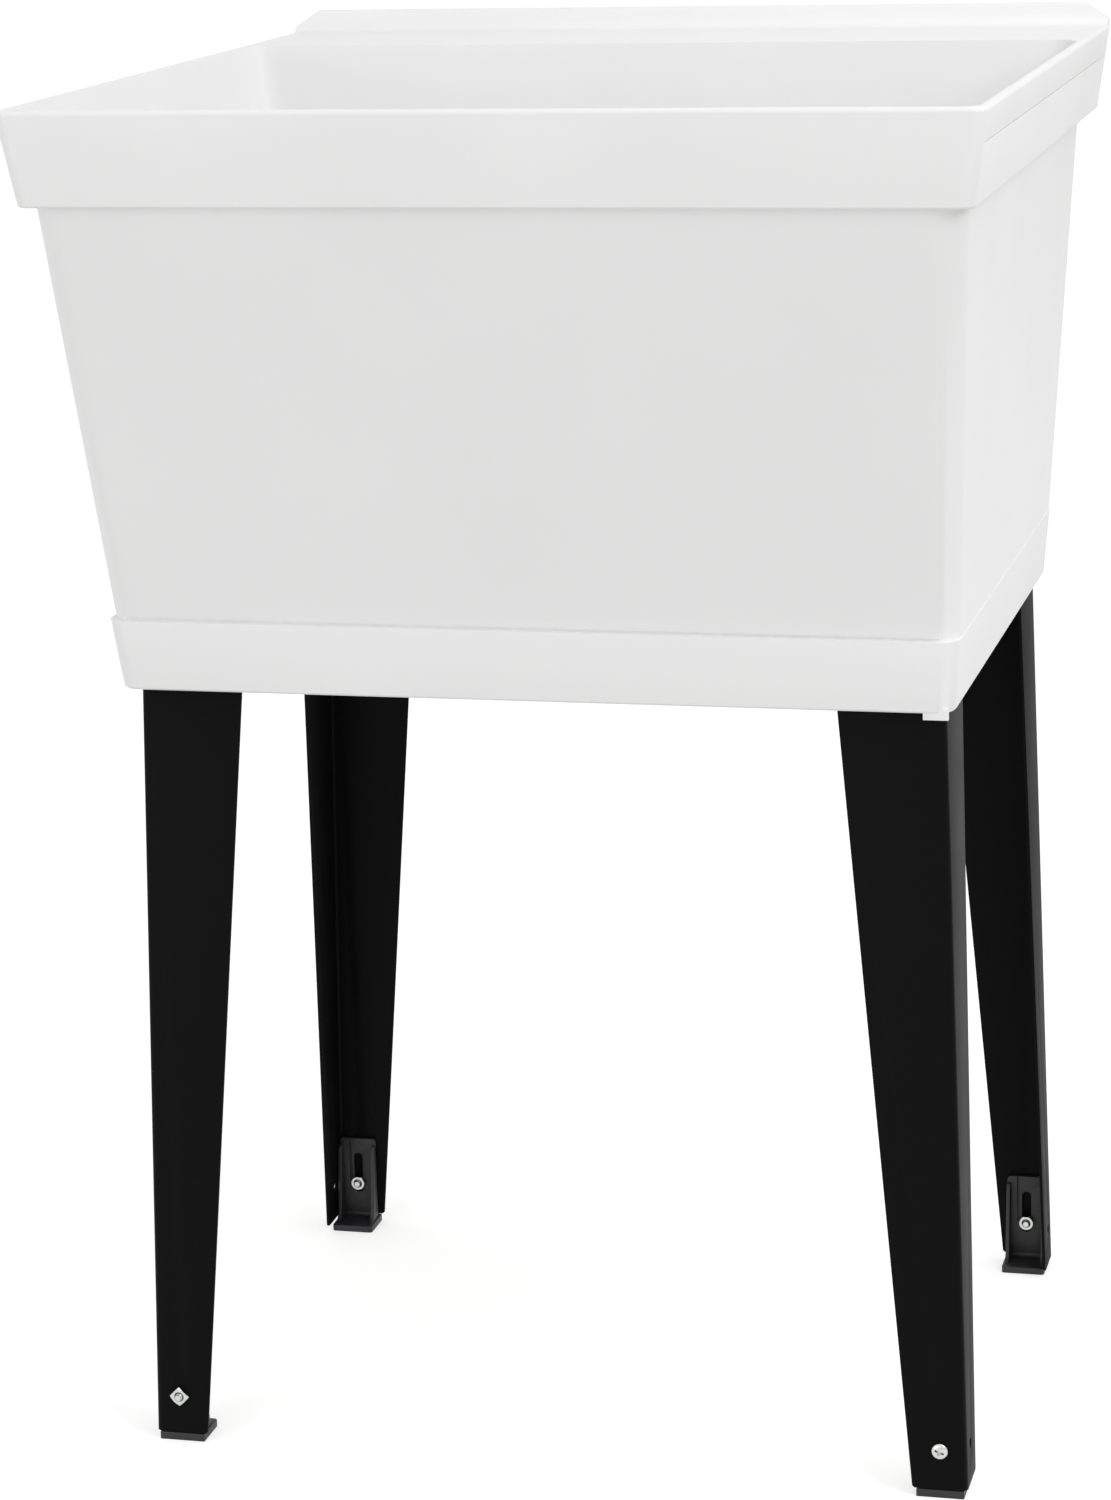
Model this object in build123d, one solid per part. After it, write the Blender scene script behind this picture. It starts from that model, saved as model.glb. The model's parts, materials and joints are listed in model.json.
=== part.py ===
from build123d import *
import math
import os

# Utility laundry sink: a moulded tub on four tapered angle legs with levelling feet.
# Millimetres. +X is the user's right, +Y is the wall side, +Z is up.
# The origin is on the floor, under the centre of the rim.

# --- Rim, apron and deck ---------------------------------------------------------------
RIM_WIDTH = 581.0
RIM_DEPTH = 604.0
RIM_HEIGHT = 864.0
WALL = 5.0
APRON_HEIGHT = 57.0
APRON_TAPER = 8.3           # how far the apron leans in over its height, front and sides
APRON_STEP = 5.8            # the body is set back this far under the apron
APRON_CORNER = 9.0
RIM_ROUND = 2.5
LOW_EDGE = 1.2
PARTING_DROP = 20.4         # mould line on the side aprons, below the rim
PARTING_SIZE = 0.6
DECK_FRONT = 167.0          # Y of the edge where the deck meets the basin
DECK_THICK = 5.0
DECK_RIBS = (-190.0, -70.0, 70.0, 190.0)
DECK_RIB_DEPTH = 24.0
RIB = 3.0
RIDGE_HEIGHT = 15.0
RIDGE_TOP = 7.0
RIDGE_COVE = 9.0
RIDGE_END = 17.5            # sloped end of the ridge, seen from the front
RIDGE_END_HEIGHT = 4.5      # the slope starts this far above the rim

# --- Body and base band ----------------------------------------------------------------
BODY_CORNER = 20.0
BAND_CORNER = 13.0
BODY_TOP_BACK = 240.0
BAND_TOP = 547.0
BAND_BOTTOM = 502.5
BODY_LOW_HALF = 262.6
BODY_LOW_FRONT = -227.5
BODY_LOW_BACK = 200.0
BAND_PROUD = 3.0            # the band stands this far in front of the wall above it
BAND_LOW_HALF = 259.1
BAND_LOW_FRONT = -223.0
BAND_WALL = 4.5
GROOVE_HEIGHT = 1.6
GROOVE_DEPTH = 2.8
ROLL_HEIGHT = 9.0           # above the groove the front wall turns in over this height
ROLL_DEPTH = 1.4
RETURN_FLANGE = 26.0        # width of the lips that turn in at the open back
STOP_TAB = (241.0, 256.0)   # X span of the small tab under the front right corner
STOP_TAB_DROP = 4.0

# --- Basin -----------------------------------------------------------------------------
FLOOR_Z = 542.0
FLOOR_THICK = 5.5
FLOOR_RADIUS = 16.0
BASIN_BACK_LOW = 150.0
MOUTH_CORNER = 12.0
BASIN_CORNER = 20.0
WELL_CORNER = 24.0
FALL_HALF_X = 150.0         # the floor falls to the drain from this far away
FALL_HALF_Y = 110.0
FALL_DEPTH = 2.5

# --- Drain -----------------------------------------------------------------------------
DRAIN_Y = -36.0
DRAIN_SEAT_Z = 535.0
DRAIN_BOSS_Z = 529.0
DRAIN_BOSS_RADIUS = 48.0
DRAIN_RECESS_RADIUS = 40.0
DRAIN_HOLE_RADIUS = 25.2
FLANGE_RADIUS = 38.0
FLANGE_THICK = 1.4
NECK_RADIUS = 24.6          # of the upper thread, for the locknut
NECK_LOW_Z = 511.0
OUTLET_RADIUS = 23.7        # of the lower thread, for a 1 1/2 inch trap
OUTLET_END_Z = 478.0
BORE_RADIUS = 19.5
STOPPER_GAP = 0.3           # to the bore and to the flange
STOPPER_DEPTH = 8.0         # of the plug, below the brim
BRIM_RADIUS = 27.5
BRIM_THICK = 4.3
LUG_TOP = 15.0              # above the drain's seat, like the hole's centre
LUG_HOLE_Z = 10.5
RING_WIRE = 1.0             # half the thickness of the flat pull ring
RING_RADIUS = 9.0
GASKET_THICK = 3.0
FRICTION_THICK = 1.0
LOCKNUT_THICK = 10.0
LOCKNUT_FLATS = 62.0

# --- Legs ------------------------------------------------------------------------------
STEEL = 1.9
BEND_RADIUS = 4.0
LEG_LOW_Z = 5.6
LEG_TOP_Z = 531.0
FLANGE_TOP = 65.7           # flange width at the band's lower edge
FLANGE_LOW = 34.2           # flange width at the floor
LEG_LOW_X = 264.8
LEG_TOP_X = 251.9           # at the band's lower edge
LEG_LOW_FRONT = -211.8
LEG_TOP_FRONT = -203.0
LEG_LOW_BACK = 201.8
LEG_TOP_BACK = 193.2
TOE_CHAMFER = 1.3           # on the two lower free corners
HOLE_Z = 31.0
HOLE_FROM_BEND = 16.6
HOLE_RADIUS = 3.3
SOCKET_WALL = 3.0
SOCKET_ROOT = 6.0           # how far the sleeve reaches out into the band's wall
SOCKET_GAP = 0.15

# --- Feet ------------------------------------------------------------------------------
FOOT_GAP = 0.3              # between a foot and what it slides on
FOOT_PLATE_WIDTH = 26.0
FOOT_PLATE_CHAMFER = 0.8    # on the back edges, clear of the leg's bend
FOOT_PLATE_THICK = 3.0
FOOT_HEIGHT = 65.0
FOOT_CORNER = 4.5
FOOT_BASE_WIDTH = 30.0
FOOT_BASE_HEIGHT = 5.0
FOOT_BASE_REACH = 26.0      # inwards from the plate's outer face
FOOT_BASE_CHAMFER = 2.0     # on the two corners away from the leg
RIB_THICK = 2.6
RIB_TOP = 60.0
RIB_REACH_TOP = 8.0
RIB_REACH_LOW = 14.0
RIB_FLARE_Z = 13.5          # below this the ribs flare out onto the base
RIB_FLARE_REACH = 9.0
FOOT_COVE = 4.0
SLOT_WIDTH = 6.2
SLOT_LOW = 26.5
SLOT_HIGH = 50.4
GROOVE_LINE_X = 6.0

# --- Foot bolts and nuts ---------------------------------------------------------------
BOLT_RADIUS = 2.4
BOLT_HEAD_RADIUS = 5.3
BOLT_HEAD_HEIGHT = 3.2
BOLT_STAND_OUT = 2.0
NUT_FLATS = 9.5
NUT_THICK = 3.4

HALF_W = RIM_WIDTH / 2
HALF_D = RIM_DEPTH / 2
APRON_Z = RIM_HEIGHT - APRON_HEIGHT
BODY_HALF = HALF_W - APRON_TAPER - APRON_STEP
BODY_FRONT = -HALF_D + APRON_TAPER + APRON_STEP


def plan(half_w, front, back, z, r_front, r_back):
    """Rounded rectangle at height z, with its own corner radius at the front and at the back."""
    face = Pos(0, (front + back) / 2, z) * Rectangle(2 * half_w, back - front)
    face = fillet(face.vertices().group_by(Axis.Y)[0], r_front)
    face = fillet(face.vertices().group_by(Axis.Y)[-1], r_back)
    return face


def flat_sided(low, high):
    """Flat-sided block between two rectangles, each a half width, front, back and height."""
    rings = []
    for half_w, front, back, z in (low, high):
        rings.append([(-half_w, front, z), (half_w, front, z), (half_w, back, z), (-half_w, back, z)])
    lower, upper = rings
    faces = [Face(Wire.make_polygon(lower)), Face(Wire.make_polygon(upper))]
    for i in range(4):
        k = (i + 1) % 4
        faces.append(Face(Wire.make_polygon([lower[i], lower[k], upper[k], upper[i]])))
    return Solid(Shell(faces))


def walls(low, high, r_front, r_back):
    """Flat-sided block between two rectangles, with its upright corners rounded."""
    block = flat_sided(low, high)
    upright = block.edges().filter_by(lambda edge: abs((edge @ 1 - edge @ 0).Z) > 1e-3)
    upright = upright.sort_by(Axis.Y)
    block = fillet(upright[:2], r_front)
    upright = block.edges().filter_by(lambda edge: abs((edge @ 1 - edge @ 0).Z) > 1e-3)
    return fillet(upright.sort_by(Axis.Y)[-2:], r_back)


def box(x, y, z):
    """Box from its low and high limits on each axis."""
    size = (x[1] - x[0], y[1] - y[0], z[1] - z[0])
    centre = Pos((x[0] + x[1]) / 2, (y[0] + y[1]) / 2, (z[0] + z[1]) / 2)
    return centre * Box(*size)


# --- Tub -------------------------------------------------------------------------------
def wall_at(z):
    """Half width, front and back of the body's outside at height z."""
    t = (z - BAND_TOP) / (APRON_Z - BAND_TOP)
    half = BODY_LOW_HALF + t * (BODY_HALF - BODY_LOW_HALF)
    front = BODY_LOW_FRONT + t * (BODY_FRONT - BODY_LOW_FRONT)
    back = BODY_LOW_BACK + t * (BODY_TOP_BACK - BODY_LOW_BACK)
    return half, front, back


def tub_outside():
    """Apron, leaning body and base band as one solid block."""
    lean = math.atan(APRON_TAPER / APRON_HEIGHT)
    round_off = RIM_ROUND * (math.tan(lean) + 1 / math.cos(lean) - 1)
    apron = walls(
        (HALF_W - APRON_TAPER, -HALF_D + APRON_TAPER, HALF_D, APRON_Z),
        (HALF_W + round_off, -HALF_D - round_off, HALF_D, RIM_HEIGHT),
        APRON_CORNER,
        APRON_CORNER,
    )
    rim_edges = apron.faces().sort_by(Axis.Z)[-1].edges()
    apron = fillet(rim_edges.sort_by(Axis.Y)[:-3], RIM_ROUND)
    lower_edges = apron.faces().sort_by(Axis.Z)[0].edges()
    apron = chamfer(lower_edges, LOW_EDGE)

    top = RIM_HEIGHT - 20
    body = walls((*wall_at(BAND_TOP), BAND_TOP), (*wall_at(top), top), BODY_CORNER, APRON_CORNER)
    band = walls(
        (BAND_LOW_HALF, BAND_LOW_FRONT, BODY_LOW_BACK - 0.5, BAND_BOTTOM),
        (BODY_LOW_HALF + 0.6, BODY_LOW_FRONT - BAND_PROUD, BODY_LOW_BACK + 0.6, BAND_TOP),
        BAND_CORNER,
        APRON_CORNER,
    )
    band = chamfer(band.faces().sort_by(Axis.Z)[0].edges(), LOW_EDGE)
    return apron + body + band


def ridge():
    """Low ridge along the back of the deck: coved up from the deck, with sloped ends."""
    top = RIM_HEIGHT + RIDGE_HEIGHT
    front = HALF_D - RIDGE_TOP
    with BuildSketch(Plane.YZ) as section:
        with BuildLine():
            Line((HALF_D, RIM_HEIGHT - 8), (HALF_D, top))
            Line((HALF_D, top), (front, top))
            Line((front, top), (front, RIM_HEIGHT + RIDGE_COVE))
            RadiusArc((front, RIM_HEIGHT + RIDGE_COVE), (front - RIDGE_COVE, RIM_HEIGHT), RIDGE_COVE)
            Line((front - RIDGE_COVE, RIM_HEIGHT), (front - RIDGE_COVE, RIM_HEIGHT - 2))
            Line((front - RIDGE_COVE, RIM_HEIGHT - 2), (HALF_D, RIM_HEIGHT - 8))
        make_face()
    bar = extrude(section.sketch, HALF_W, both=True)
    half = HALF_W - 1
    with BuildSketch(Plane.XZ.offset(-HALF_D - 5)) as ends:
        with BuildLine():
            Polyline(
                (-half + 5, RIM_HEIGHT - 30),
                (-half, RIM_HEIGHT - 1),
                (-half, RIM_HEIGHT + RIDGE_END_HEIGHT),
                (-HALF_W + RIDGE_END, top),
                (HALF_W - RIDGE_END, top),
                (half, RIM_HEIGHT + RIDGE_END_HEIGHT),
                (half, RIM_HEIGHT - 1),
                (half - 5, RIM_HEIGHT - 30),
                close=True,
            )
        make_face()
    bar = bar & extrude(ends.sketch, 60)
    top_edges = bar.faces().sort_by(Axis.Z)[-1].edges().filter_by(Axis.X)
    return fillet(top_edges, 2.0)


def basin_inside():
    """Everything that the basin holds: the apron zone down to its ledge, then the leaning well."""
    half = HALF_W - WALL
    ledge = APRON_Z + WALL
    drop = RIM_HEIGHT - ledge
    lean = APRON_TAPER * drop / APRON_HEIGHT
    mouth = walls(
        (half - lean, -HALF_D + WALL + lean, DECK_FRONT - 2, ledge),
        (half, -HALF_D + WALL, DECK_FRONT, RIM_HEIGHT),
        MOUTH_CORNER,
        BASIN_CORNER,
    )
    low_half, low_front, _ = wall_at(FLOOR_Z)
    top_half, top_front, _ = wall_at(ledge)
    well = walls(
        (low_half - WALL, low_front + WALL, BASIN_BACK_LOW, FLOOR_Z),
        (top_half - WALL, top_front + WALL, DECK_FRONT - 5, ledge),
        WELL_CORNER,
        WELL_CORNER,
    )
    well = fillet(well.faces().sort_by(Axis.Z)[0].edges(), FLOOR_RADIUS)
    pool = DRAIN_RECESS_RADIUS + 4
    fall = flat_sided(
        (pool, DRAIN_Y - pool, DRAIN_Y + pool, FLOOR_Z - FALL_DEPTH),
        (FALL_HALF_X, DRAIN_Y - FALL_HALF_Y, DRAIN_Y + FALL_HALF_Y, FLOOR_Z),
    )
    recess = Cylinder(DRAIN_RECESS_RADIUS, 8, align=(Align.CENTER, Align.CENTER, Align.MIN))
    return mouth + well + fall + Pos(0, DRAIN_Y, DRAIN_SEAT_Z) * recess


def back_wall_y(z):
    """Y of the outside of the basin's back wall at height z."""
    t = (z - FLOOR_Z) / (RIM_HEIGHT - FLOOR_Z)
    return BASIN_BACK_LOW + t * (DECK_FRONT - BASIN_BACK_LOW) + WALL


def back_recess():
    """Open space behind the basin's back wall, under the deck, where supply pipes come up."""
    roof = RIM_HEIGHT - DECK_THICK
    shelf = APRON_Z + WALL
    top_half, _, top_back = wall_at(shelf)
    low_half, _, low_back = wall_at(FLOOR_Z)
    recess = flat_sided(
        (low_half - WALL, back_wall_y(FLOOR_Z), low_back - WALL, FLOOR_Z),
        (top_half - WALL, back_wall_y(shelf), top_back - WALL, shelf),
    )

    apron_half = HALF_W - APRON_TAPER - WALL
    recess += box((-apron_half, apron_half), (back_wall_y(RIM_HEIGHT), HALF_D - WALL), (shelf, roof))
    recess += box((-apron_half, apron_half), (top_back + 2, HALF_D - WALL), (APRON_Z - 1, shelf + 1))

    window_half_top = top_half - RETURN_FLANGE
    window_half_low = low_half - RETURN_FLANGE
    sill = FLOOR_Z + 8
    with BuildSketch(Plane.XZ) as opening:
        with BuildLine():
            Polyline(
                (-window_half_low, sill),
                (window_half_low, sill),
                (window_half_top, shelf + 1),
                (-window_half_top, shelf + 1),
                close=True,
            )
        make_face()
        fillet(opening.vertices().group_by(Axis.Y)[0], 14)
    reach = HALF_D - WALL - 1
    recess += Pos(0, reach, 0) * extrude(opening.sketch, reach - back_wall_y(FLOOR_Z) - 20)

    for x in DECK_RIBS:
        recess -= box((x - RIB / 2, x + RIB / 2), (100, 400), (roof - DECK_RIB_DEPTH, roof + 1))
    return recess


def under_floor():
    """Space inside the base band, under the basin floor, less the drain boss and the cross ribs."""
    ceiling = FLOOR_Z - FLOOR_THICK
    front = BAND_LOW_FRONT + BAND_WALL
    back = BODY_LOW_BACK - BAND_WALL
    space = walls(
        (BAND_LOW_HALF - BAND_WALL, front, back - 0.5, BAND_BOTTOM),
        (BAND_LOW_HALF - BAND_WALL + 1.5, front - 1.5, back, ceiling),
        BODY_CORNER - 4,
        APRON_CORNER - 4,
    )
    boss = Pos(0, DRAIN_Y, DRAIN_BOSS_Z) * Cylinder(
        DRAIN_BOSS_RADIUS, 20, align=(Align.CENTER, Align.CENTER, Align.MIN)
    )
    rib_low = BAND_BOTTOM + 12
    rib_x = box((-300, 300), (DRAIN_Y - RIB / 2, DRAIN_Y + RIB / 2), (rib_low, 560))
    rib_y = box((-RIB / 2, RIB / 2), (-300, 300), (rib_low, 560))
    clear = Pos(0, DRAIN_Y, rib_low - 5) * Cylinder(
        DRAIN_BOSS_RADIUS - 4, DRAIN_BOSS_Z - rib_low + 5, align=(Align.CENTER, Align.CENTER, Align.MIN)
    )
    ribs = rib_x + rib_y - clear
    return space - boss - ribs


def band_groove():
    """Groove along the front, where the wall turns in behind the band. It runs out at the corners."""
    half, front, _ = wall_at(BAND_TOP)
    _, front_above, _ = wall_at(BAND_TOP + ROLL_HEIGHT)
    shoulder = BAND_TOP + GROOVE_HEIGHT
    with BuildSketch(Plane.YZ) as section:
        with BuildLine():
            Polyline(
                (front - 9, BAND_TOP),
                (front + GROOVE_DEPTH, BAND_TOP),
                (front + GROOVE_DEPTH, shoulder),
                (front + ROLL_DEPTH, shoulder),
                (front_above, BAND_TOP + ROLL_HEIGHT),
                (front - 9, BAND_TOP + ROLL_HEIGHT),
                close=True,
            )
        make_face()
    return extrude(section.sketch, half - 3, both=True)


def parting_lines():
    """Fine mould line along each side apron."""
    z = RIM_HEIGHT - PARTING_DROP
    x = HALF_W - APRON_TAPER * PARTING_DROP / APRON_HEIGHT
    lines = []
    for side in (-1, 1):
        centre = Pos(side * x, 0, z)
        lines.append(centre * Box(2 * PARTING_SIZE, RIM_DEPTH - 3 * APRON_CORNER, PARTING_SIZE))
    return lines[0] + lines[1]


def tub(legs):
    """The moulding, with a socket cut to each leg."""
    body = tub_outside() + ridge()
    body -= back_recess()
    body -= under_floor()
    for leg in legs:
        body += leg.socket()
    body -= basin_inside()
    for leg in legs:
        body -= leg.blank(SOCKET_GAP)
    body -= band_groove()
    body -= parting_lines()
    body -= Pos(0, DRAIN_Y, DRAIN_SEAT_Z) * Cylinder(DRAIN_HOLE_RADIUS, 40)
    tab_y = BAND_LOW_FRONT + 0.8
    body += box(STOP_TAB, (tab_y, tab_y + BAND_WALL - 1), (BAND_BOTTOM - STOP_TAB_DROP, BAND_BOTTOM + 3))
    return body


# --- Legs, feet and their fasteners ----------------------------------------------------
class Corner:
    """One corner of the stand: its leg, foot, bolt and nut.

    The leg is drawn with its bend on the Z axis and its flanges along +X and +Y. It is then turned
    in quarter turns, and leaned so that the foot stands out a little further than the socket.
    The foot is drawn with its bolt on the X = 0 plane and its inner side towards +Y.
    """

    def __init__(self, name, side, back, quarter):
        self.name = name
        self.side = side
        self.back = back
        run = BAND_BOTTOM
        top_y = LEG_TOP_BACK if back else LEG_TOP_FRONT
        low_y = LEG_LOW_BACK if back else LEG_LOW_FRONT
        low = Vector(side * LEG_LOW_X, low_y, 0)
        lean = Vector(side * (LEG_TOP_X - LEG_LOW_X), top_y - low_y, run)
        flange = Vector(1, 0, 0).rotate(Axis.Z, 90 * quarter)
        self.frame = Plane(origin=low, x_dir=flange, z_dir=lean)

        inward = -1 if back else 1
        slide = Vector(0, top_y - low_y, run).normalized()
        bolt_x = side * (LEG_LOW_X - (LEG_LOW_X - LEG_TOP_X) * HOLE_Z / run - HOLE_FROM_BEND)
        origin = Vector(bolt_x, low_y + inward * STEEL, 0)
        self.slide = slide
        self.foot_frame = Plane(origin=origin, x_dir=(inward, 0, 0), z_dir=slide)

    def blank(self, gap=0.0):
        """Bent and tapered leg with no holes, grown by the gap on every side."""
        taper = (FLANGE_TOP - FLANGE_LOW) / BAND_BOTTOM
        reach = LEG_TOP_Z + 30
        narrow = FLANGE_LOW + gap
        wide = narrow + taper * reach
        with BuildSketch(Plane.XZ.offset(gap)) as front:
            with BuildLine():
                Polyline((-gap, 0), (narrow, 0), (wide, reach), (-gap, reach), close=True)
            make_face()
        flange = extrude(front.sketch, -STEEL - 2 * gap)
        diagonal = Plane((0, 0, 0), x_dir=(0, 0, 1), z_dir=(1, -1, 0))
        bent = flange + flange.mirror(diagonal)
        upright = bent.edges().filter_by(Axis.Z)
        outer = upright.sort_by_distance((-gap, -gap, reach / 2))[0]
        bent = fillet(outer, BEND_RADIUS + gap)
        upright = bent.edges().filter_by(Axis.Z)
        inner = upright.sort_by_distance((STEEL + gap, STEEL + gap, reach / 2))[0]
        bent = fillet(inner, BEND_RADIUS - STEEL - gap)
        leaned = self.frame.location * bent
        return leaned & box((-400, 400), (-400, 400), (LEG_LOW_Z - gap, LEG_TOP_Z))

    def leg(self):
        """Tapered angle leg: one hole low in each flange, lower free corners cut off."""
        leg = self.blank()
        toes = leg.edges().filter_by(lambda edge: edge.length < 1.5 * STEEL).sort_by(Axis.Z)[:2]
        leg = chamfer(toes, TOE_CHAMFER)
        lean_x = self.frame.x_dir
        lean_y = self.frame.y_dir
        for along, through in ((lean_x, lean_y), (lean_y, lean_x)):
            centre = self.frame.origin + self.frame.z_dir * HOLE_Z + along * HOLE_FROM_BEND
            drill = Plane(origin=centre, z_dir=through)
            leg -= drill.location * Cylinder(HOLE_RADIUS, 4 * STEEL + 2)
        return leg

    def socket(self):
        """L-shaped sleeve inside the band that the top of the leg pushes into."""
        reach = FLANGE_TOP + SOCKET_WALL + 1
        out = -SOCKET_ROOT
        inner = STEEL + SOCKET_WALL
        with BuildSketch() as shape:
            with BuildLine():
                Polyline((out, out), (reach, out), (reach, inner), (inner, inner), (inner, reach), (out, reach),
                         close=True)
            make_face()
        sleeve = extrude(shape.sketch, FLOOR_Z + 20)
        placed = self.frame.location * sleeve
        low = BAND_BOTTOM + 1.5
        inside = plan(BAND_LOW_HALF - 1.8, BAND_LOW_FRONT + 2, BODY_LOW_BACK - 2, low, BODY_CORNER - 2, APRON_CORNER - 2)
        return placed & extrude(inside, FLOOR_Z - 1 - low)

    def foot(self):
        """Levelling foot: slotted back plate between two side ribs, on a flared base."""
        plate_y = (FOOT_GAP, FOOT_GAP + FOOT_PLATE_THICK)
        half = FOOT_PLATE_WIDTH / 2
        plate = box((-half, half), plate_y, (0, FOOT_HEIGHT))
        top = plate.edges().filter_by(Axis.Y).group_by(Axis.Z)[-1]
        plate = fillet(top, FOOT_CORNER)
        bevel = FOOT_PLATE_CHAMFER * math.sqrt(2)
        for x in (-half, half):
            plate -= Pos(x, FOOT_GAP, 0) * Rot(0, 0, 45) * Box(bevel, bevel, 2 * (FOOT_HEIGHT - FOOT_CORNER))

        with BuildSketch(Plane.YZ) as side:
            with BuildLine():
                Polyline(
                    (FOOT_GAP, 0),
                    (FOOT_GAP, RIB_TOP),
                    (RIB_REACH_TOP - 2, RIB_TOP),
                    (RIB_REACH_TOP, RIB_TOP - 2.5),
                    (RIB_REACH_LOW, RIB_FLARE_Z),
                    (RIB_REACH_LOW + 0.3 * RIB_FLARE_REACH, FOOT_BASE_HEIGHT + 2.4),
                    (RIB_REACH_LOW + RIB_FLARE_REACH, FOOT_BASE_HEIGHT),
                    (RIB_REACH_LOW + RIB_FLARE_REACH, 0),
                    close=True,
                )
            make_face()
        rib = extrude(side.sketch, RIB_THICK)
        left = Pos(-half, 0, 0) * rib
        right = Pos(half - RIB_THICK, 0, 0) * rib

        base_half = FOOT_BASE_WIDTH / 2
        base = box((-base_half, base_half), (-STEEL, FOOT_BASE_REACH), (-1, FOOT_BASE_HEIGHT))
        base = chamfer(base.edges().filter_by(Axis.Z).group_by(Axis.Y)[-1], FOOT_BASE_CHAMFER)
        heel_y = FOOT_GAP + FOOT_PLATE_THICK
        turned_bar = Rot(45, 0, 0) * Box(2 * half, math.sqrt(2) * FOOT_COVE, math.sqrt(2) * FOOT_COVE)
        cove = Pos(0, heel_y, FOOT_BASE_HEIGHT) * turned_bar
        cove = cove & box((-half, half), (heel_y - 1, heel_y + FOOT_COVE), (FOOT_BASE_HEIGHT - 1, FOOT_BASE_HEIGHT + FOOT_COVE))
        foot = plate + left + right + base + cove

        slot_mid = (SLOT_LOW + SLOT_HIGH) / 2
        slot = Plane(origin=(0, 0, slot_mid), x_dir=(0, 0, 1), z_dir=(0, 1, 0)).location * extrude(
            SlotCenterToCenter(SLOT_HIGH - SLOT_LOW, SLOT_WIDTH), 10, both=True
        )
        line_y = FOOT_GAP + FOOT_PLATE_THICK
        tally = box((GROOVE_LINE_X - 0.5, GROOVE_LINE_X + 0.5), (line_y - 0.6, line_y + 1), (32, FOOT_HEIGHT + 1))
        foot = foot - slot - tally
        placed = self.foot_frame.location * foot
        return placed & box((-400, 400), (-400, 400), (0, 200))

    def bolt(self, head_outside):
        """Pan-head bolt through the flange and the foot's slot."""
        stack = STEEL + 2 * FOOT_GAP + FOOT_PLATE_THICK
        length = stack + NUT_THICK + BOLT_STAND_OUT
        shank = Cylinder(BOLT_RADIUS, length, align=(Align.CENTER, Align.CENTER, Align.MIN))
        head = Cylinder(BOLT_HEAD_RADIUS, BOLT_HEAD_HEIGHT, align=(Align.CENTER, Align.CENTER, Align.MAX))
        return self.across(shank + head, head_outside)

    def nut(self, head_outside, square):
        """Nut at the far end of the bolt: square ones are turned to stand on a corner."""
        stack = STEEL + 2 * FOOT_GAP + FOOT_PLATE_THICK
        outline = Rot(0, 0, 45) * Rectangle(NUT_FLATS, NUT_FLATS) if square else RegularPolygon(
            NUT_FLATS / 2, 6, major_radius=False)
        nut = extrude(outline, NUT_THICK) - Cylinder(BOLT_RADIUS, 3 * NUT_THICK)
        return self.across(Pos(0, 0, stack) * nut, head_outside)

    def across(self, piece, head_outside):
        """Places a piece drawn along +Z from the head's seat onto the foot's bolt line."""
        seat_y = -STEEL if head_outside else FOOT_GAP * 2 + FOOT_PLATE_THICK
        point = (0, seat_y, HOLE_Z)
        normal = (0, 1, 0) if head_outside else (0, -1, 0)
        local = Plane(origin=point, x_dir=(1, 0, 0), z_dir=normal)
        return self.foot_frame.location * (local.location * piece)


# --- Drain -----------------------------------------------------------------------------
def at_drain(piece):
    """Moves a piece drawn on the Z axis onto the drain's axis."""
    return Pos(0, DRAIN_Y, 0) * piece


def turned(points):
    """Ring turned from a closed outline of (radius, z) points."""
    with BuildSketch(Plane.XZ) as section:
        with BuildLine():
            Polyline(*points, close=True)
        make_face()
    return revolve(section.sketch, Axis.Z)


def drain_body():
    """Flanged waste with crossbars in its bore, and a threaded outlet."""
    seat = DRAIN_SEAT_Z
    body = turned(
        [
            (BORE_RADIUS, OUTLET_END_Z),
            (OUTLET_RADIUS, OUTLET_END_Z),
            (OUTLET_RADIUS, NECK_LOW_Z),
            (NECK_RADIUS, NECK_LOW_Z),
            (NECK_RADIUS, seat),
            (FLANGE_RADIUS, seat),
            (FLANGE_RADIUS, seat + FLANGE_THICK),
            (BORE_RADIUS, seat + FLANGE_THICK),
        ]
    )
    bar_z = (seat - 18, seat - 14)
    for angle in (0, 90):
        bar = box((-BORE_RADIUS - 0.5, BORE_RADIUS + 0.5), (-1.5, 1.5), bar_z)
        body += Rot(0, 0, angle) * bar
    return at_drain(body)


def drain_ring(inner, outer, low, high):
    """Plain flat ring on the drain's axis."""
    return at_drain(turned([(inner, low), (outer, low), (outer, high), (inner, high)]))


def drain_locknut(top):
    """Large hexagonal locknut under the washers."""
    outline = RegularPolygon(LOCKNUT_FLATS / 2, 6, major_radius=False) - Circle(NECK_RADIUS)
    return at_drain(Pos(0, 0, top - LOCKNUT_THICK) * extrude(outline, LOCKNUT_THICK))


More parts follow.
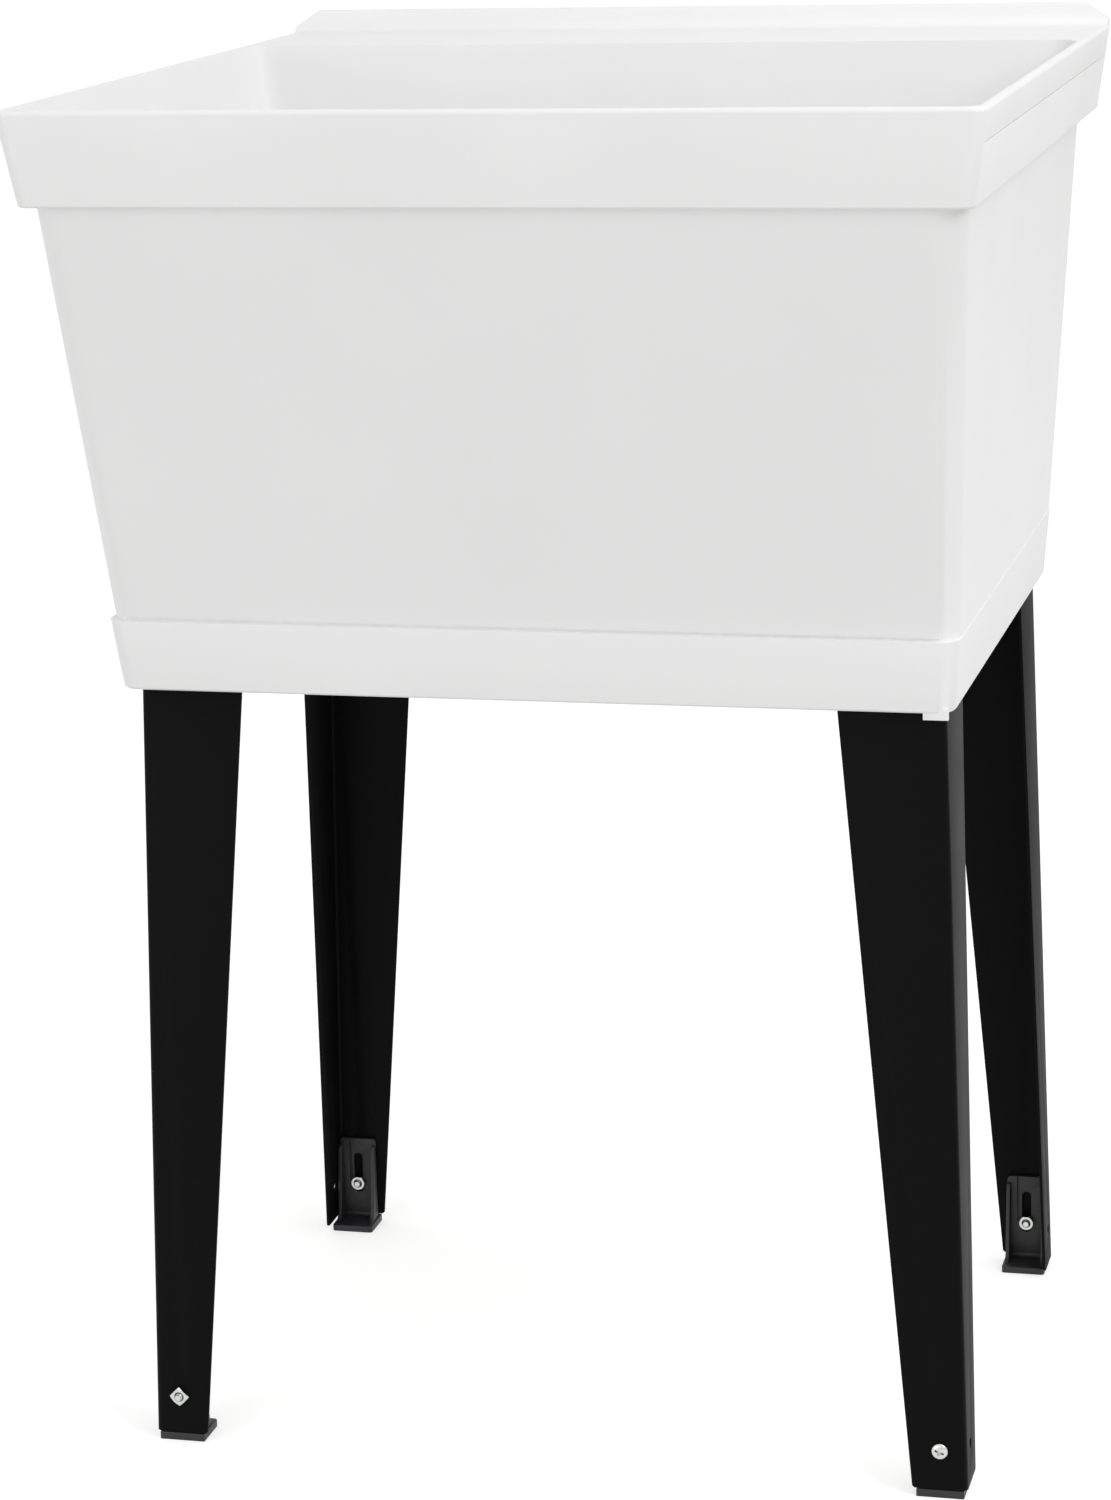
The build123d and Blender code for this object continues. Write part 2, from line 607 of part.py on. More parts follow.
def stopper():
    """Rubber plug with a brim that seals on the flange, and a lug for its pull ring."""
    brim_low = DRAIN_SEAT_Z + FLANGE_THICK + STOPPER_GAP
    brim_top = brim_low + BRIM_THICK
    up = (Align.CENTER, Align.CENTER, Align.MIN)
    plug = Pos(0, 0, brim_low - STOPPER_DEPTH) * Cylinder(BORE_RADIUS - STOPPER_GAP, STOPPER_DEPTH + 1, align=up)
    brim = Pos(0, 0, brim_low) * Cylinder(BRIM_RADIUS, BRIM_THICK, align=up)
    lug = box((-5, 5), (-2.5, 2.5), (brim_top - 1, DRAIN_SEAT_Z + LUG_TOP))
    lug = chamfer(lug.edges().filter_by(Axis.Y).group_by(Axis.Z)[-1], 2.4)
    hole = Pos(0, 0, DRAIN_SEAT_Z + LUG_HOLE_Z) * Rot(90, 0, 0) * Cylinder(1.42 * RING_WIRE + 0.3, 20)
    return at_drain(plug + brim + lug - hole)


def stopper_ring():
    """Flat pull ring through the stopper's lug, standing up from it."""
    flat = Cylinder(RING_RADIUS + RING_WIRE, 2 * RING_WIRE) - Cylinder(RING_RADIUS - RING_WIRE, 4 * RING_WIRE)
    return at_drain(Pos(0, 0, DRAIN_SEAT_Z + LUG_HOLE_Z + RING_RADIUS) * Rot(0, 90, 0) * flat)


# --- Assembly --------------------------------------------------------------------------
CORNERS = [
    Corner("front_left", -1, False, 0),
    Corner("front_right", 1, False, 1),
    Corner("rear_right", 1, True, 2),
    Corner("rear_left", -1, True, 3),
]
# The front left bolt is put in from behind, so its square nut is on the outside of the leg.
HEAD_OUTSIDE = {"front_left": False, "front_right": True, "rear_right": True, "rear_left": True}


def build():
    """All nodes by name."""
    nodes = {"tub": tub(CORNERS)}
    bolts = []
    front_nuts = []
    rear_nuts = []
    for corner in CORNERS:
        outside = HEAD_OUTSIDE[corner.name]
        nodes["leg_" + corner.name] = corner.leg()
        nodes["foot_" + corner.name] = corner.foot()
        bolts.append(corner.bolt(outside))
        nut_group = rear_nuts if corner.back else front_nuts
        nut_group.append(corner.nut(outside, not corner.back))
    nodes["foot_bolts"] = Compound(children=bolts)
    nodes["foot_nuts_front"] = Compound(children=front_nuts)
    nodes["foot_nuts_rear"] = Compound(children=rear_nuts)
    gasket_low = DRAIN_BOSS_Z - GASKET_THICK
    friction_low = gasket_low - FRICTION_THICK
    nodes["drain_body"] = drain_body()
    nodes["drain_gasket"] = drain_ring(NECK_RADIUS, FLANGE_RADIUS - 3, gasket_low, DRAIN_BOSS_Z)
    nodes["friction_washer"] = drain_ring(NECK_RADIUS, FLANGE_RADIUS - 4, friction_low, gasket_low)
    nodes["drain_locknut"] = drain_locknut(friction_low)
    nodes["stopper"] = stopper()
    nodes["stopper_ring"] = stopper_ring()
    return nodes


os.makedirs("parts", exist_ok=True)
for node, shape in build().items():
    export_step(shape, f"parts/{node}.step")
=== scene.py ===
"""Looks of a freestanding utility laundry sink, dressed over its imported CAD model.

The moulded tub and the four bent legs are the CAD solids, with eased edges and finishes made here.
The levelling feet, their bolts and nuts, the drain and its stopper are modelled again in mesh
code, with the rounded edges, threads and recesses that the plain solids leave out.
Sizes are in millimetres. Places in the frame, the camera, the lamps and the floor are in metres.
"""

import json
import logging
import math
from collections.abc import Callable
from dataclasses import dataclass
from enum import Enum

import bmesh
import bpy
from mathutils import Matrix, Vector

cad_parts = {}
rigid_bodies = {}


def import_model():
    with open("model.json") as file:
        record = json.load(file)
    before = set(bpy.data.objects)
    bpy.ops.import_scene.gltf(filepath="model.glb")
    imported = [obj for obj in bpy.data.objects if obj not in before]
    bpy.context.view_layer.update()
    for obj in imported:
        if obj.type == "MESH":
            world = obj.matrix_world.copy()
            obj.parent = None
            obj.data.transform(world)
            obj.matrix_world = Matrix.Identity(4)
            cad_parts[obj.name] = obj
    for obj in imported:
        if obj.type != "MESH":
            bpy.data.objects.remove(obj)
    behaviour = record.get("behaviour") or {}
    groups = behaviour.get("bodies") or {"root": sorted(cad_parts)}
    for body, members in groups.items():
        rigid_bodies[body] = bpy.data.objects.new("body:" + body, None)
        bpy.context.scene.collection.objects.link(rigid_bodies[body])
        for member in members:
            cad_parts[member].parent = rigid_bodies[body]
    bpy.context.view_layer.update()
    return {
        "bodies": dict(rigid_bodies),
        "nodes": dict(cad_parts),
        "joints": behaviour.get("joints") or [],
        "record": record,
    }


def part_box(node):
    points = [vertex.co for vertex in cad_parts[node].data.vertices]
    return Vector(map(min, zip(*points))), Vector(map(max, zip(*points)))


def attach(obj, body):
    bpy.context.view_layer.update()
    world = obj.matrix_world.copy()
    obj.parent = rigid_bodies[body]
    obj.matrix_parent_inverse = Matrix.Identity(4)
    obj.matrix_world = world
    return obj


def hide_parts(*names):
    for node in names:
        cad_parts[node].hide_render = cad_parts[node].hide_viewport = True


MM = 0.001
LOG = logging.getLogger("laundry_sink")

SHARP_DEG = 34.0  # edges that turn by more stay sharp, where a piece has no angle of its own
ALL_SMOOTH_DEG = 179.0
MERGE_MM = 0.004
FLAT_DEG = 0.4  # faces that turn by less than this are one flat face
MOST_OF_SIDE = 0.48  # the largest share of a side that the round at one end takes
OUTSIDE = 99.0  # marks the outline's points whose radius the flats of a nut give

Point = tuple[float, float]
Triple = tuple[float, float, float]
Colour = tuple[float, float, float, float]
Ripple = Callable[[float, float, float], float]
Tree = bpy.types.NodeTree
Socket = bpy.types.NodeSocket
Mesh = bpy.types.Mesh


# --- Nodes and colours ---------------------------------------------------------------------
def linear(hex_colour: str) -> Colour:
    """Turns an sRGB hex colour into linear values.

    Args:
        hex_colour: six hex digits after a hash, such as "#F4F4F3".

    Returns:
        Linear red, green, blue and an alpha of 1.
    """
    channels = [int(hex_colour[i : i + 2], 16) / 255 for i in (1, 3, 5)]
    flat = [c / 12.92 if c <= 0.04045 else ((c + 0.055) / 1.055) ** 2.4 for c in channels]
    return (*flat, 1.0)


def feed(tree: Tree, node: bpy.types.Node, sockets: dict) -> None:
    """Gives a node's inputs their values and links.

    Args:
        tree: the node tree that holds the node.
        node: the node.
        sockets: a value, or the output to link from, for each input by name or number.
    """
    for name, value in sockets.items():
        if isinstance(value, Socket):
            tree.links.new(value, node.inputs[name])
        else:
            node.inputs[name].default_value = value


def add(tree: Tree, kind: str, sockets: dict | None = None, **settings: object) -> bpy.types.Node:
    """Adds one node with its settings, its values and its links.

    Args:
        tree: the node tree that gets it.
        kind: Blender's name for the type of node.
        sockets: a value, or the output to link from, for each input by name or number.
        settings: the node's own properties.

    Returns:
        The new node.
    """
    made = tree.nodes.new(kind)
    for name, value in settings.items():
        setattr(made, name, value)
    feed(tree, made, sockets or {})
    return made


def emptied(owner: bpy.types.Material | bpy.types.World) -> Tree:
    """Turns nodes on for a material or a world, and clears them."""
    owner.use_nodes = True
    owner.node_tree.nodes.clear()
    return owner.node_tree


def per_metre(size_mm: float) -> float:
    """Scale that makes a pattern's cells this many millimetres wide."""
    return 1 / (size_mm * MM)


# --- Finishes ------------------------------------------------------------------------------
@dataclass(frozen=True)
class Finish:
    """What all finishes share: a name, the record's slot, and the shader's own values."""

    title: str
    slot: str
    colour: str
    roughness: float
    metallic: float = 0.0
    ior: float = 1.5
    specular: float = 0.5
    shades: tuple[str, str] = ("", "")
    spread: Point = (0.0, 0.0)

    def material(self) -> bpy.types.Material:
        """Makes the material, or returns the one already made.

        Returns:
            The material, with the surface detail of its own class.
        """
        found = bpy.data.materials.get(self.title)
        if found:
            return found
        made = bpy.data.materials.new(self.title)
        tree = emptied(made)
        base = linear(self.colour)
        values = {"Base Color": base, "Roughness": self.roughness, "Metallic": self.metallic}
        if not self.metallic:
            values |= {"IOR": self.ior, "Specular IOR Level": self.specular}
        shader = add(tree, "ShaderNodeBsdfPrincipled", values)
        add(tree, "ShaderNodeOutputMaterial", {"Surface": shader.outputs["BSDF"]})
        place = add(tree, "ShaderNodeTexCoord").outputs["Object"]
        feed(tree, shader, self.surface(tree, place))
        made.diffuse_color = base
        return made

    def surface(self, tree: Tree, place: Socket) -> dict:
        """Makes the detail that the surface shows close up. Each finish has its own.

        Args:
            tree: the material's node tree.
            place: where on the object a point is, in metres.

        Returns:
            What goes into the shader, for each of its inputs by name.
        """
        raise NotImplementedError

    def dressed(
        self,
        tree: Tree,
        tone: Socket | None,
        gloss: Socket | None,
        reliefs: list[tuple[Socket, float, float]],
    ) -> dict:
        """Lets patterns of 0 to 1 move the tone, the gloss and the relief of the surface.

        Args:
            tree: the material's node tree.
            tone: the pattern that picks the tone between the two shades, if one does.
            gloss: the pattern that moves the roughness about its own value, if one does.
            reliefs: each pattern that stands up, with its depth in millimetres, less than 0
                where it is turned over, and its strength.

        Returns:
            What goes into the shader, for each of its inputs by name.
        """
        sources = {}
        if tone:
            ends = {6: linear(self.shades[0]), 7: linear(self.shades[1])}
            mixed = add(tree, "ShaderNodeMix", {0: tone, **ends}, data_type="RGBA")
            sources["Base Color"] = mixed.outputs[2]
        if gloss:
            fall, rise = self.spread
            ends = {"To Min": self.roughness - fall, "To Max": self.roughness + rise}
            ranged = add(tree, "ShaderNodeMapRange", {"Value": gloss, **ends})
            sources["Roughness"] = ranged.outputs["Result"]
        for height, depth_mm, strength in reliefs:
            values = {"Height": height, "Distance": abs(depth_mm) * MM, "Strength": strength}
            if "Normal" in sources:
                values["Normal"] = sources["Normal"]
            bump = add(tree, "ShaderNodeBump", values, invert=depth_mm < 0)
            sources["Normal"] = bump.outputs["Normal"]
        return sources

    def put_on(self, thing: bpy.types.Object) -> None:
        """Gives an object this finish alone."""
        thing.data.materials.clear()
        thing.data.materials.append(self.material())


@dataclass(frozen=True)
class MouldedPolypropylene(Finish):
    """White injection-moulded polypropylene, from a mould with a fine spark-eroded surface."""

    shades: tuple[str, str] = ("#F5F5F5", "#EEEEEE")
    spread: Point = (0.05, 0.06)
    cloud_mm: float = 140.0
    patch_mm: float = 38.0
    flow_mm: float = 85.0
    flow_depth_mm: float = 0.35
    grain_mm: float = 0.7
    grain_depth_mm: float = 0.025
    milk: float = 0.06
    milk_mm: float = 2.5

    def surface(self, tree: Tree, place: Socket) -> dict:
        """Cloudy tone, patchy gloss, slow waves left by the melt's flow, and the mould's grain.

        Args:
            tree: the material's node tree.
            place: where on the object a point is, in metres.

        Returns:
            What goes into the shader, for each of its inputs by name.
        """
        # The eye gets a soft milky white whose highlights waver slightly on the big flat walls.
        # The real grain is near 0.1 mm and too fine to show, so it is drawn about 0.7 mm wide.
        values = {"Vector": place, "Scale": per_metre(self.cloud_mm), "Detail": 3.0}
        cloud = add(tree, "ShaderNodeTexNoise", values).outputs["Fac"]
        values = {"Vector": place, "Scale": per_metre(self.patch_mm), "Detail": 4.0}
        patch = add(tree, "ShaderNodeTexNoise", values).outputs["Fac"]
        values = {"Vector": place, "Scale": per_metre(self.flow_mm), "Detail": 1.0}
        flow = add(tree, "ShaderNodeTexNoise", {**values, "Distortion": 0.4}).outputs["Fac"]
        values = {"Vector": place, "Scale": per_metre(self.grain_mm), "Detail": 2.0}
        grain = add(tree, "ShaderNodeTexNoise", values).outputs["Fac"]
        reliefs = [(flow, self.flow_depth_mm, 1.0), (grain, self.grain_depth_mm, 1.0)]
        return {
            **self.dressed(tree, cloud, patch, reliefs),
            "Subsurface Weight": self.milk,
            "Subsurface Radius": (1.0, 1.0, 1.0),
            "Subsurface Scale": self.milk_mm * MM,
        }


@dataclass(frozen=True)
class BlackPowderCoat(Finish):
    """Black polyester powder coat, baked on bent sheet steel."""

    shades: tuple[str, str] = ("#040405", "#09090A")
    spread: Point = (0.06, 0.08)
    film_mm: float = 55.0
    peel_mm: float = 2.2
    peel_depth_mm: float = 0.035
    speck_mm: float = 0.6
    speck_depth_mm: float = 0.012

    def surface(self, tree: Tree, place: Socket) -> dict:
        """Orange peel, a dusting of coarser specks, and gloss that varies with the thickness.

        Args:
            tree: the material's node tree.
            place: where on the object a point is, in metres.

        Returns:
            What goes into the shader, for each of its inputs by name.
        """
        # The eye gets a deep black with a soft low sheen, broken up at grazing angles.
        # Orange peel is 1 to 2 mm wide in the real coat and is drawn at 2.2 mm so that it shows.
        values = {"Vector": place, "Scale": per_metre(self.film_mm), "Detail": 5.0}
        film = add(tree, "ShaderNodeTexNoise", values).outputs["Fac"]
        values = {"Vector": place, "Scale": per_metre(self.peel_mm), "Smoothness": 1.0}
        peel = add(tree, "ShaderNodeTexVoronoi", values, feature="SMOOTH_F1").outputs["Distance"]
        values = {"Vector": place, "Scale": per_metre(self.speck_mm), "Detail": 1.0}
        speck = add(tree, "ShaderNodeTexNoise", values).outputs["Fac"]
        reliefs = [(peel, -self.peel_depth_mm, 0.8), (speck, self.speck_depth_mm, 0.7)]
        return self.dressed(tree, film, film, reliefs)


@dataclass(frozen=True)
class FilledNylon(Finish):
    """Dark grey glass-filled nylon, injection moulded."""

    shades: tuple[str, str] = ("#1C1B1E", "#2B292D")
    spread: Point = (0.07, 0.09)
    streak_mm: float = 3.2
    squeeze: Triple = (1.0, 1.0, 0.12)
    skin_mm: float = 0.9
    skin_depth_mm: float = 0.03

    def surface(self, tree: Tree, place: Socket) -> dict:
        """Streaks of filler along the flow, and a dull, slightly rough skin.

        Args:
            tree: the material's node tree.
            place: where on the object a point is, in metres.

        Returns:
            What goes into the shader, for each of its inputs by name.
        """
        # The eye gets a charcoal grey with faint lighter streaks up the foot, and soft edges.
        values = {"Vector": place, "Scale": self.squeeze}
        run = add(tree, "ShaderNodeMapping", values).outputs["Vector"]
        values = {"Vector": run, "Scale": per_metre(self.streak_mm), "Detail": 5.0}
        streak = add(tree, "ShaderNodeTexNoise", {**values, "Distortion": 0.6}).outputs["Fac"]
        values = {"Vector": place, "Scale": per_metre(self.skin_mm), "Detail": 3.0}
        skin = add(tree, "ShaderNodeTexNoise", values).outputs["Fac"]
        return self.dressed(tree, streak, streak, [(skin, self.skin_depth_mm, 0.8)])


@dataclass(frozen=True)
class ZincPlate(Finish):
    """Bright zinc plate on cold-headed steel, with a clear chromate."""

    shades: tuple[str, str] = ("#BFC7CF", "#D6D3C4")
    spread: Point = (0.07, 0.1)
    patch_mm: float = 2.8
    dent_mm: float = 0.8
    dent_depth_mm: float = 0.03

    def surface(self, tree: Tree, place: Socket) -> dict:
        """Faint blue and straw-coloured patches of chromate, and small dents from tumbling.

        Args:
            tree: the material's node tree.
            place: where on the object a point is, in metres.

        Returns:
            What goes into the shader, for each of its inputs by name.
        """
        # The eye gets a bright silver that leans blue or straw, with a broken highlight.
        values = {"Vector": place, "Scale": per_metre(self.patch_mm), "Detail": 2.0}
        patch = add(tree, "ShaderNodeTexNoise", values).outputs["Fac"]
        values = {"Vector": place, "Scale": per_metre(self.dent_mm)}
        dents = add(tree, "ShaderNodeTexVoronoi", values, feature="SMOOTH_F1").outputs["Distance"]
        return self.dressed(tree, patch, patch, [(dents, self.dent_depth_mm, 0.6)])


@dataclass(frozen=True)
class SpunStainless(Finish):
    """Stainless steel that was turned or spun, so its polishing lines run round the axis."""

    spread: Point = (0.06, 0.1)
    line_mm: float = 0.35
    line_depth_mm: float = 0.006
    ring_mm: float = 4.0

    def surface(self, tree: Tree, place: Socket) -> dict:
        """Fine polishing lines that circle the axis, with light and dark rings among them.

        Args:
            tree: the material's node tree.
            place: where on the object a point is, in metres.

        Returns:
            What goes into the shader, for each of its inputs by name.
        """
        # The eye gets concentric hairlines that spread each highlight across the flange.
        split = add(tree, "ShaderNodeSeparateXYZ", {"Vector": place}).outputs
        flat = add(tree, "ShaderNodeCombineXYZ", {"X": split["X"], "Y": split["Y"]})
        radius = add(tree, "ShaderNodeVectorMath", {0: flat.outputs["Vector"]}, operation="LENGTH")
        values = {"X": radius.outputs["Value"], "Y": split["Z"]}
        section = add(tree, "ShaderNodeCombineXYZ", values).outputs["Vector"]
        values = {"Vector": section, "Scale": per_metre(self.line_mm), "Detail": 2.0}
        lines = add(tree, "ShaderNodeTexNoise", values).outputs["Fac"]
        values = {"Vector": section, "Scale": per_metre(self.ring_mm), "Detail": 2.0}
        rings = add(tree, "ShaderNodeTexNoise", values).outputs["Fac"]
        return self.dressed(tree, None, rings, [(lines, self.line_depth_mm, 1.0)])


@dataclass(frozen=True)
class MouldedRubber(Finish):
    """Black nitrile rubber from a matt mould."""

    bloom_mm: float = 9.0
    pit_mm: float = 0.6
    pit_depth_mm: float = 0.02

    def surface(self, tree: Tree, place: Socket) -> dict:
        """A greyish bloom in patches over a matt, faintly pitted skin.

        Args:
            tree: the material's node tree.
            place: where on the object a point is, in metres.

        Returns:
            What goes into the shader, for each of its inputs by name.
        """
        # The eye gets a dull black with a chalky bloom and almost no highlight.
        values = {"Vector": place, "Scale": per_metre(self.bloom_mm), "Detail": 6.0}
        bloom = add(tree, "ShaderNodeTexNoise", values).outputs["Fac"]
        values = {"Vector": place, "Scale": per_metre(self.pit_mm), "Detail": 2.0}
        pits = add(tree, "ShaderNodeTexNoise", values).outputs["Fac"]
        return self.dressed(tree, bloom, None, [(pits, self.pit_depth_mm, 0.8)])


@dataclass(frozen=True)
class PressedFibre(Finish):
    """Pressed vulcanised fibre, cut from sheet."""

    shades: tuple[str, str] = ("#8F6F4B", "#6E5236")
    fibre_mm: float = 1.1
    fibre_depth_mm: float = 0.05

    def surface(self, tree: Tree, place: Socket) -> dict:
        """Short matted fibres, lighter and darker, that stand up slightly.

        Args:
            tree: the material's node tree.
            place: where on the object a point is, in metres.

        Returns:
            What goes into the shader, for each of its inputs by name.
        """
        # The eye gets brown card: matt, mottled, with short fibres lying every way.
        values = {"Vector": place, "Scale": per_metre(self.fibre_mm), "Detail": 6.0}
        fibre = add(tree, "ShaderNodeTexNoise", {**values, "Distortion": 1.8}).outputs["Fac"]
        return self.dressed(tree, fibre, None, [(fibre, self.fibre_depth_mm, 0.8)])


@dataclass(frozen=True)
class PlatedWire(Finish):
    """Bright nickel-plated steel wire."""

    spread: Point = (0.04, 0.08)
    mark_mm: float = 0.9
    mark_depth_mm: float = 0.008

    def surface(self, tree: Tree, place: Socket) -> dict:
        """Drawing marks too light to see as lines, which only roughen the mirror a little.

        Args:
            tree: the material's node tree.
            place: where on the object a point is, in metres.

        Returns:
            What goes into the shader, for each of its inputs by name.
        """
        # The eye gets a small bright mirror with slightly smeared reflections.
        values = {"Vector": place, "Scale": per_metre(self.mark_mm), "Detail": 3.0}
        marks = add(tree, "ShaderNodeTexNoise", values).outputs["Fac"]
        return self.dressed(tree, None, marks, [(marks, self.mark_depth_mm, 0.6)])


TUB_WHITE = MouldedPolypropylene(
    "polypropylene_white", "tub_plastic", "#F5F5F5", 0.4, ior=1.49, specular=0.35
)
NUT_WHITE = MouldedPolypropylene(
    "polypropylene_locknut",
    "locknut_plastic",
    "#E9E9E5",
    0.44,
    ior=1.49,
    shades=("#E9E9E5", "#E0E0DB"),
    flow_depth_mm=0.08,
)
LEG_BLACK = BlackPowderCoat("powder_coat_black", "leg_steel", "#040405", 0.54, specular=0.07)
FOOT_GREY = FilledNylon(
    "filled_nylon_grey", "foot_plastic", "#1C1B1E", 0.48, ior=1.53, specular=0.4
)
ZINC = ZincPlate("zinc_plate", "zinc", "#C9CCCF", 0.2, metallic=1.0)
STAINLESS = SpunStainless("stainless_spun", "drain_metal", "#C6C7C8", 0.26, metallic=1.0)
GASKET_BLACK = MouldedRubber(
    "rubber_gasket", "gasket_rubber", "#161617", 0.66, ior=1.52, shades=("#161617", "#2B2B2C")
)
STOPPER_BLACK = MouldedRubber(
    "rubber_stopper", "stopper_rubber", "#1A1A1B", 0.6, ior=1.52, shades=("#1A1A1B", "#2B2B2C")
)
FIBRE_BROWN = PressedFibre("pressed_fibre", "fibre", "#8F6F4B", 0.85)
NICKEL = PlatedWire("nickel_wire", "ring_wire", "#D6D7D8", 0.16, metallic=1.0)


# --- Mesh tools ----------------------------------------------------------------------------
def bowed(first: Vector, middle: Vector, last: Vector, steps: int) -> list[Point]:
    """Points of a curve that sets out towards a middle point and bends away to the last.

    Args:
        first: where the curve starts.
        middle: where its two end directions meet.
        last: where it ends.
        steps: how many pieces it is made of.

    Returns:
        The points, both ends included.
    """
    points = []
    for step in range(steps + 1):
        t = step / steps
        at = first * (1 - t) ** 2 + middle * 2 * t * (1 - t) + last * t * t
        points.append((at.x, at.y))
    return points


def eased(corners: list[Point], radius: float | list[float], steps: int = 4) -> list[Point]:
    """Rounds the corners of a closed outline.

    Args:
        corners: the outline's corners in order.
        radius: how far each round reaches along its sides, for all or for each corner.
        steps: how many pieces make one round.

    Returns:
        The outline's points, with each corner replaced by a round.
    """
    reaches = radius if isinstance(radius, list) else [radius] * len(corners)
    points: list[Point] = []
    for i, (corner, wanted) in enumerate(zip(corners, reaches)):
        here = Vector(corner)
        back = Vector(corners[i - 1]) - here
        ahead = Vector(corners[(i + 1) % len(corners)]) - here
        reach = min(wanted, MOST_OF_SIDE * back.length, MOST_OF_SIDE * ahead.length)
        if reach < 1e-6:
            points.append(corner)
            continue
        first = here + back.normalized() * reach
        last = here + ahead.normalized() * reach
        points += bowed(first, here, last, steps)
    return points


def finished(form: bmesh.types.BMesh) -> Mesh:
    """Turns a working form into a mesh and frees it.

    Args:
        form: the form, with its faces in place.

    Returns:
        The new mesh.
    """
    mesh = bpy.data.meshes.new("form")
    form.to_mesh(mesh)
    form.free()
    return mesh


def turned(outline: list[Point], steps: int, ripple: Ripple | None = None) -> Mesh:
    """Turns a closed outline about the Z axis.

    Args:
        outline: points of radius and height, in order round the section.
        steps: how many sections make the full turn.
        ripple: gives the radius at a radius, a height and an angle, for threads and flats.

    Returns:
        The closed mesh.
    """
    form = bmesh.new()
    rings = []
    for step in range(steps):
        angle = 2 * math.pi * step / steps
        ring = []
        for radius, height in outline:
            r = ripple(radius, height, angle) if ripple else radius
            ring.append(form.verts.new((r * math.cos(angle), r * math.sin(angle), height)))
        rings.append(ring)
    for step, ring in enumerate(rings):
        following = rings[(step + 1) % steps]
        for i in range(len(outline)):
            k = (i + 1) % len(outline)
            if outline[i][0] > 1e-9 or outline[k][0] > 1e-9:
                form.faces.new((ring[i], following[i], following[k], ring[k]))
    bmesh.ops.remove_doubles(form, verts=form.verts, dist=1e-5)
    bmesh.ops.recalc_face_normals(form, faces=form.faces)
    return finished(form)


def slab(
    outline: list[Point], holes: list[list[Point]], low: float, high: float, edge: float
) -> Mesh:
    """Flat plate with holes and rounded edges, lying in XY.

    Args:
        outline: the plate's outline.
        holes: an outline for each hole.
        low: height of the lower face.
        high: height of the upper face.
        edge: radius of the round on every edge.

    Returns:
        The closed mesh.
    """
    curve = bpy.data.curves.new("slab", "CURVE")
    curve.dimensions = "2D"
    curve.fill_mode = "BOTH"
    curve.extrude = (high - low) / 2 - edge
    curve.bevel_depth = edge
    curve.bevel_resolution = 2
    curve.offset = -edge
    for points in [outline, *holes]:
        spline = curve.splines.new("POLY")
        spline.points.add(len(points) - 1)
        for point, (x, y) in zip(spline.points, points):
            point.co = (x, y, 0, 1)
        spline.use_cyclic_u = True
    holder = bpy.data.objects.new("slab", curve)
    mesh = bpy.data.meshes.new_from_object(holder)
    bpy.data.objects.remove(holder)
    bpy.data.curves.remove(curve)
    form = bmesh.new()
    form.from_mesh(mesh)
    bpy.data.meshes.remove(mesh)
    bmesh.ops.remove_doubles(form, verts=form.verts, dist=1e-4)
    bmesh.ops.translate(form, verts=form.verts, vec=(0, 0, (low + high) / 2))
    bmesh.ops.recalc_face_normals(form, faces=form.faces)
    return finished(form)


def box_outline(x_low: float, x_high: float, y_low: float, y_high: float) -> list[Point]:
    """Outline of a rectangle."""
    return [(x_low, y_low), (x_high, y_low), (x_high, y_high), (x_low, y_high)]


def together(parts: list[tuple[Mesh, Matrix]]) -> Mesh:
    """Puts several meshes into one.

    Args:
        parts: each mesh, with where it goes.

    Returns:
        One mesh that holds them all. The separate ones are removed.
    """
    form = bmesh.new()
    for mesh, place in parts:
        mesh.transform(place)
        form.from_mesh(mesh)
        bpy.data.meshes.remove(mesh)
    return finished(form)


def in_scene(name: str, data: bpy.types.ID) -> bpy.types.Object:
    """Makes an object from its data and puts it in the scene.

    Args:
        name: the object's name.
        data: its mesh, lamp or camera.

    Returns:
        The new object.
    """
    thing = bpy.data.objects.new(name, data)
    bpy.context.scene.collection.objects.link(thing)
    return thing


def cut(mesh: Mesh, tool: Mesh) -> Mesh:
    """Cuts one closed mesh out of another.

    Args:
        mesh: what is cut.
        tool: what is taken away.

    Returns:
        What is left. Both meshes given are removed.
    """
    solid, cutter = in_scene("solid", mesh), in_scene("cutter", tool)
    boolean = solid.modifiers.new("cut", "BOOLEAN")
    boolean.operation = "DIFFERENCE"
    boolean.solver = "EXACT"
    boolean.object = cutter
    state = bpy.context.evaluated_depsgraph_get()
    left = bpy.data.meshes.new_from_object(solid.evaluated_get(state))
    for thing in (solid, cutter):
        bpy.data.objects.remove(thing)
    for used in (mesh, tool):
        bpy.data.meshes.remove(used)
    return left


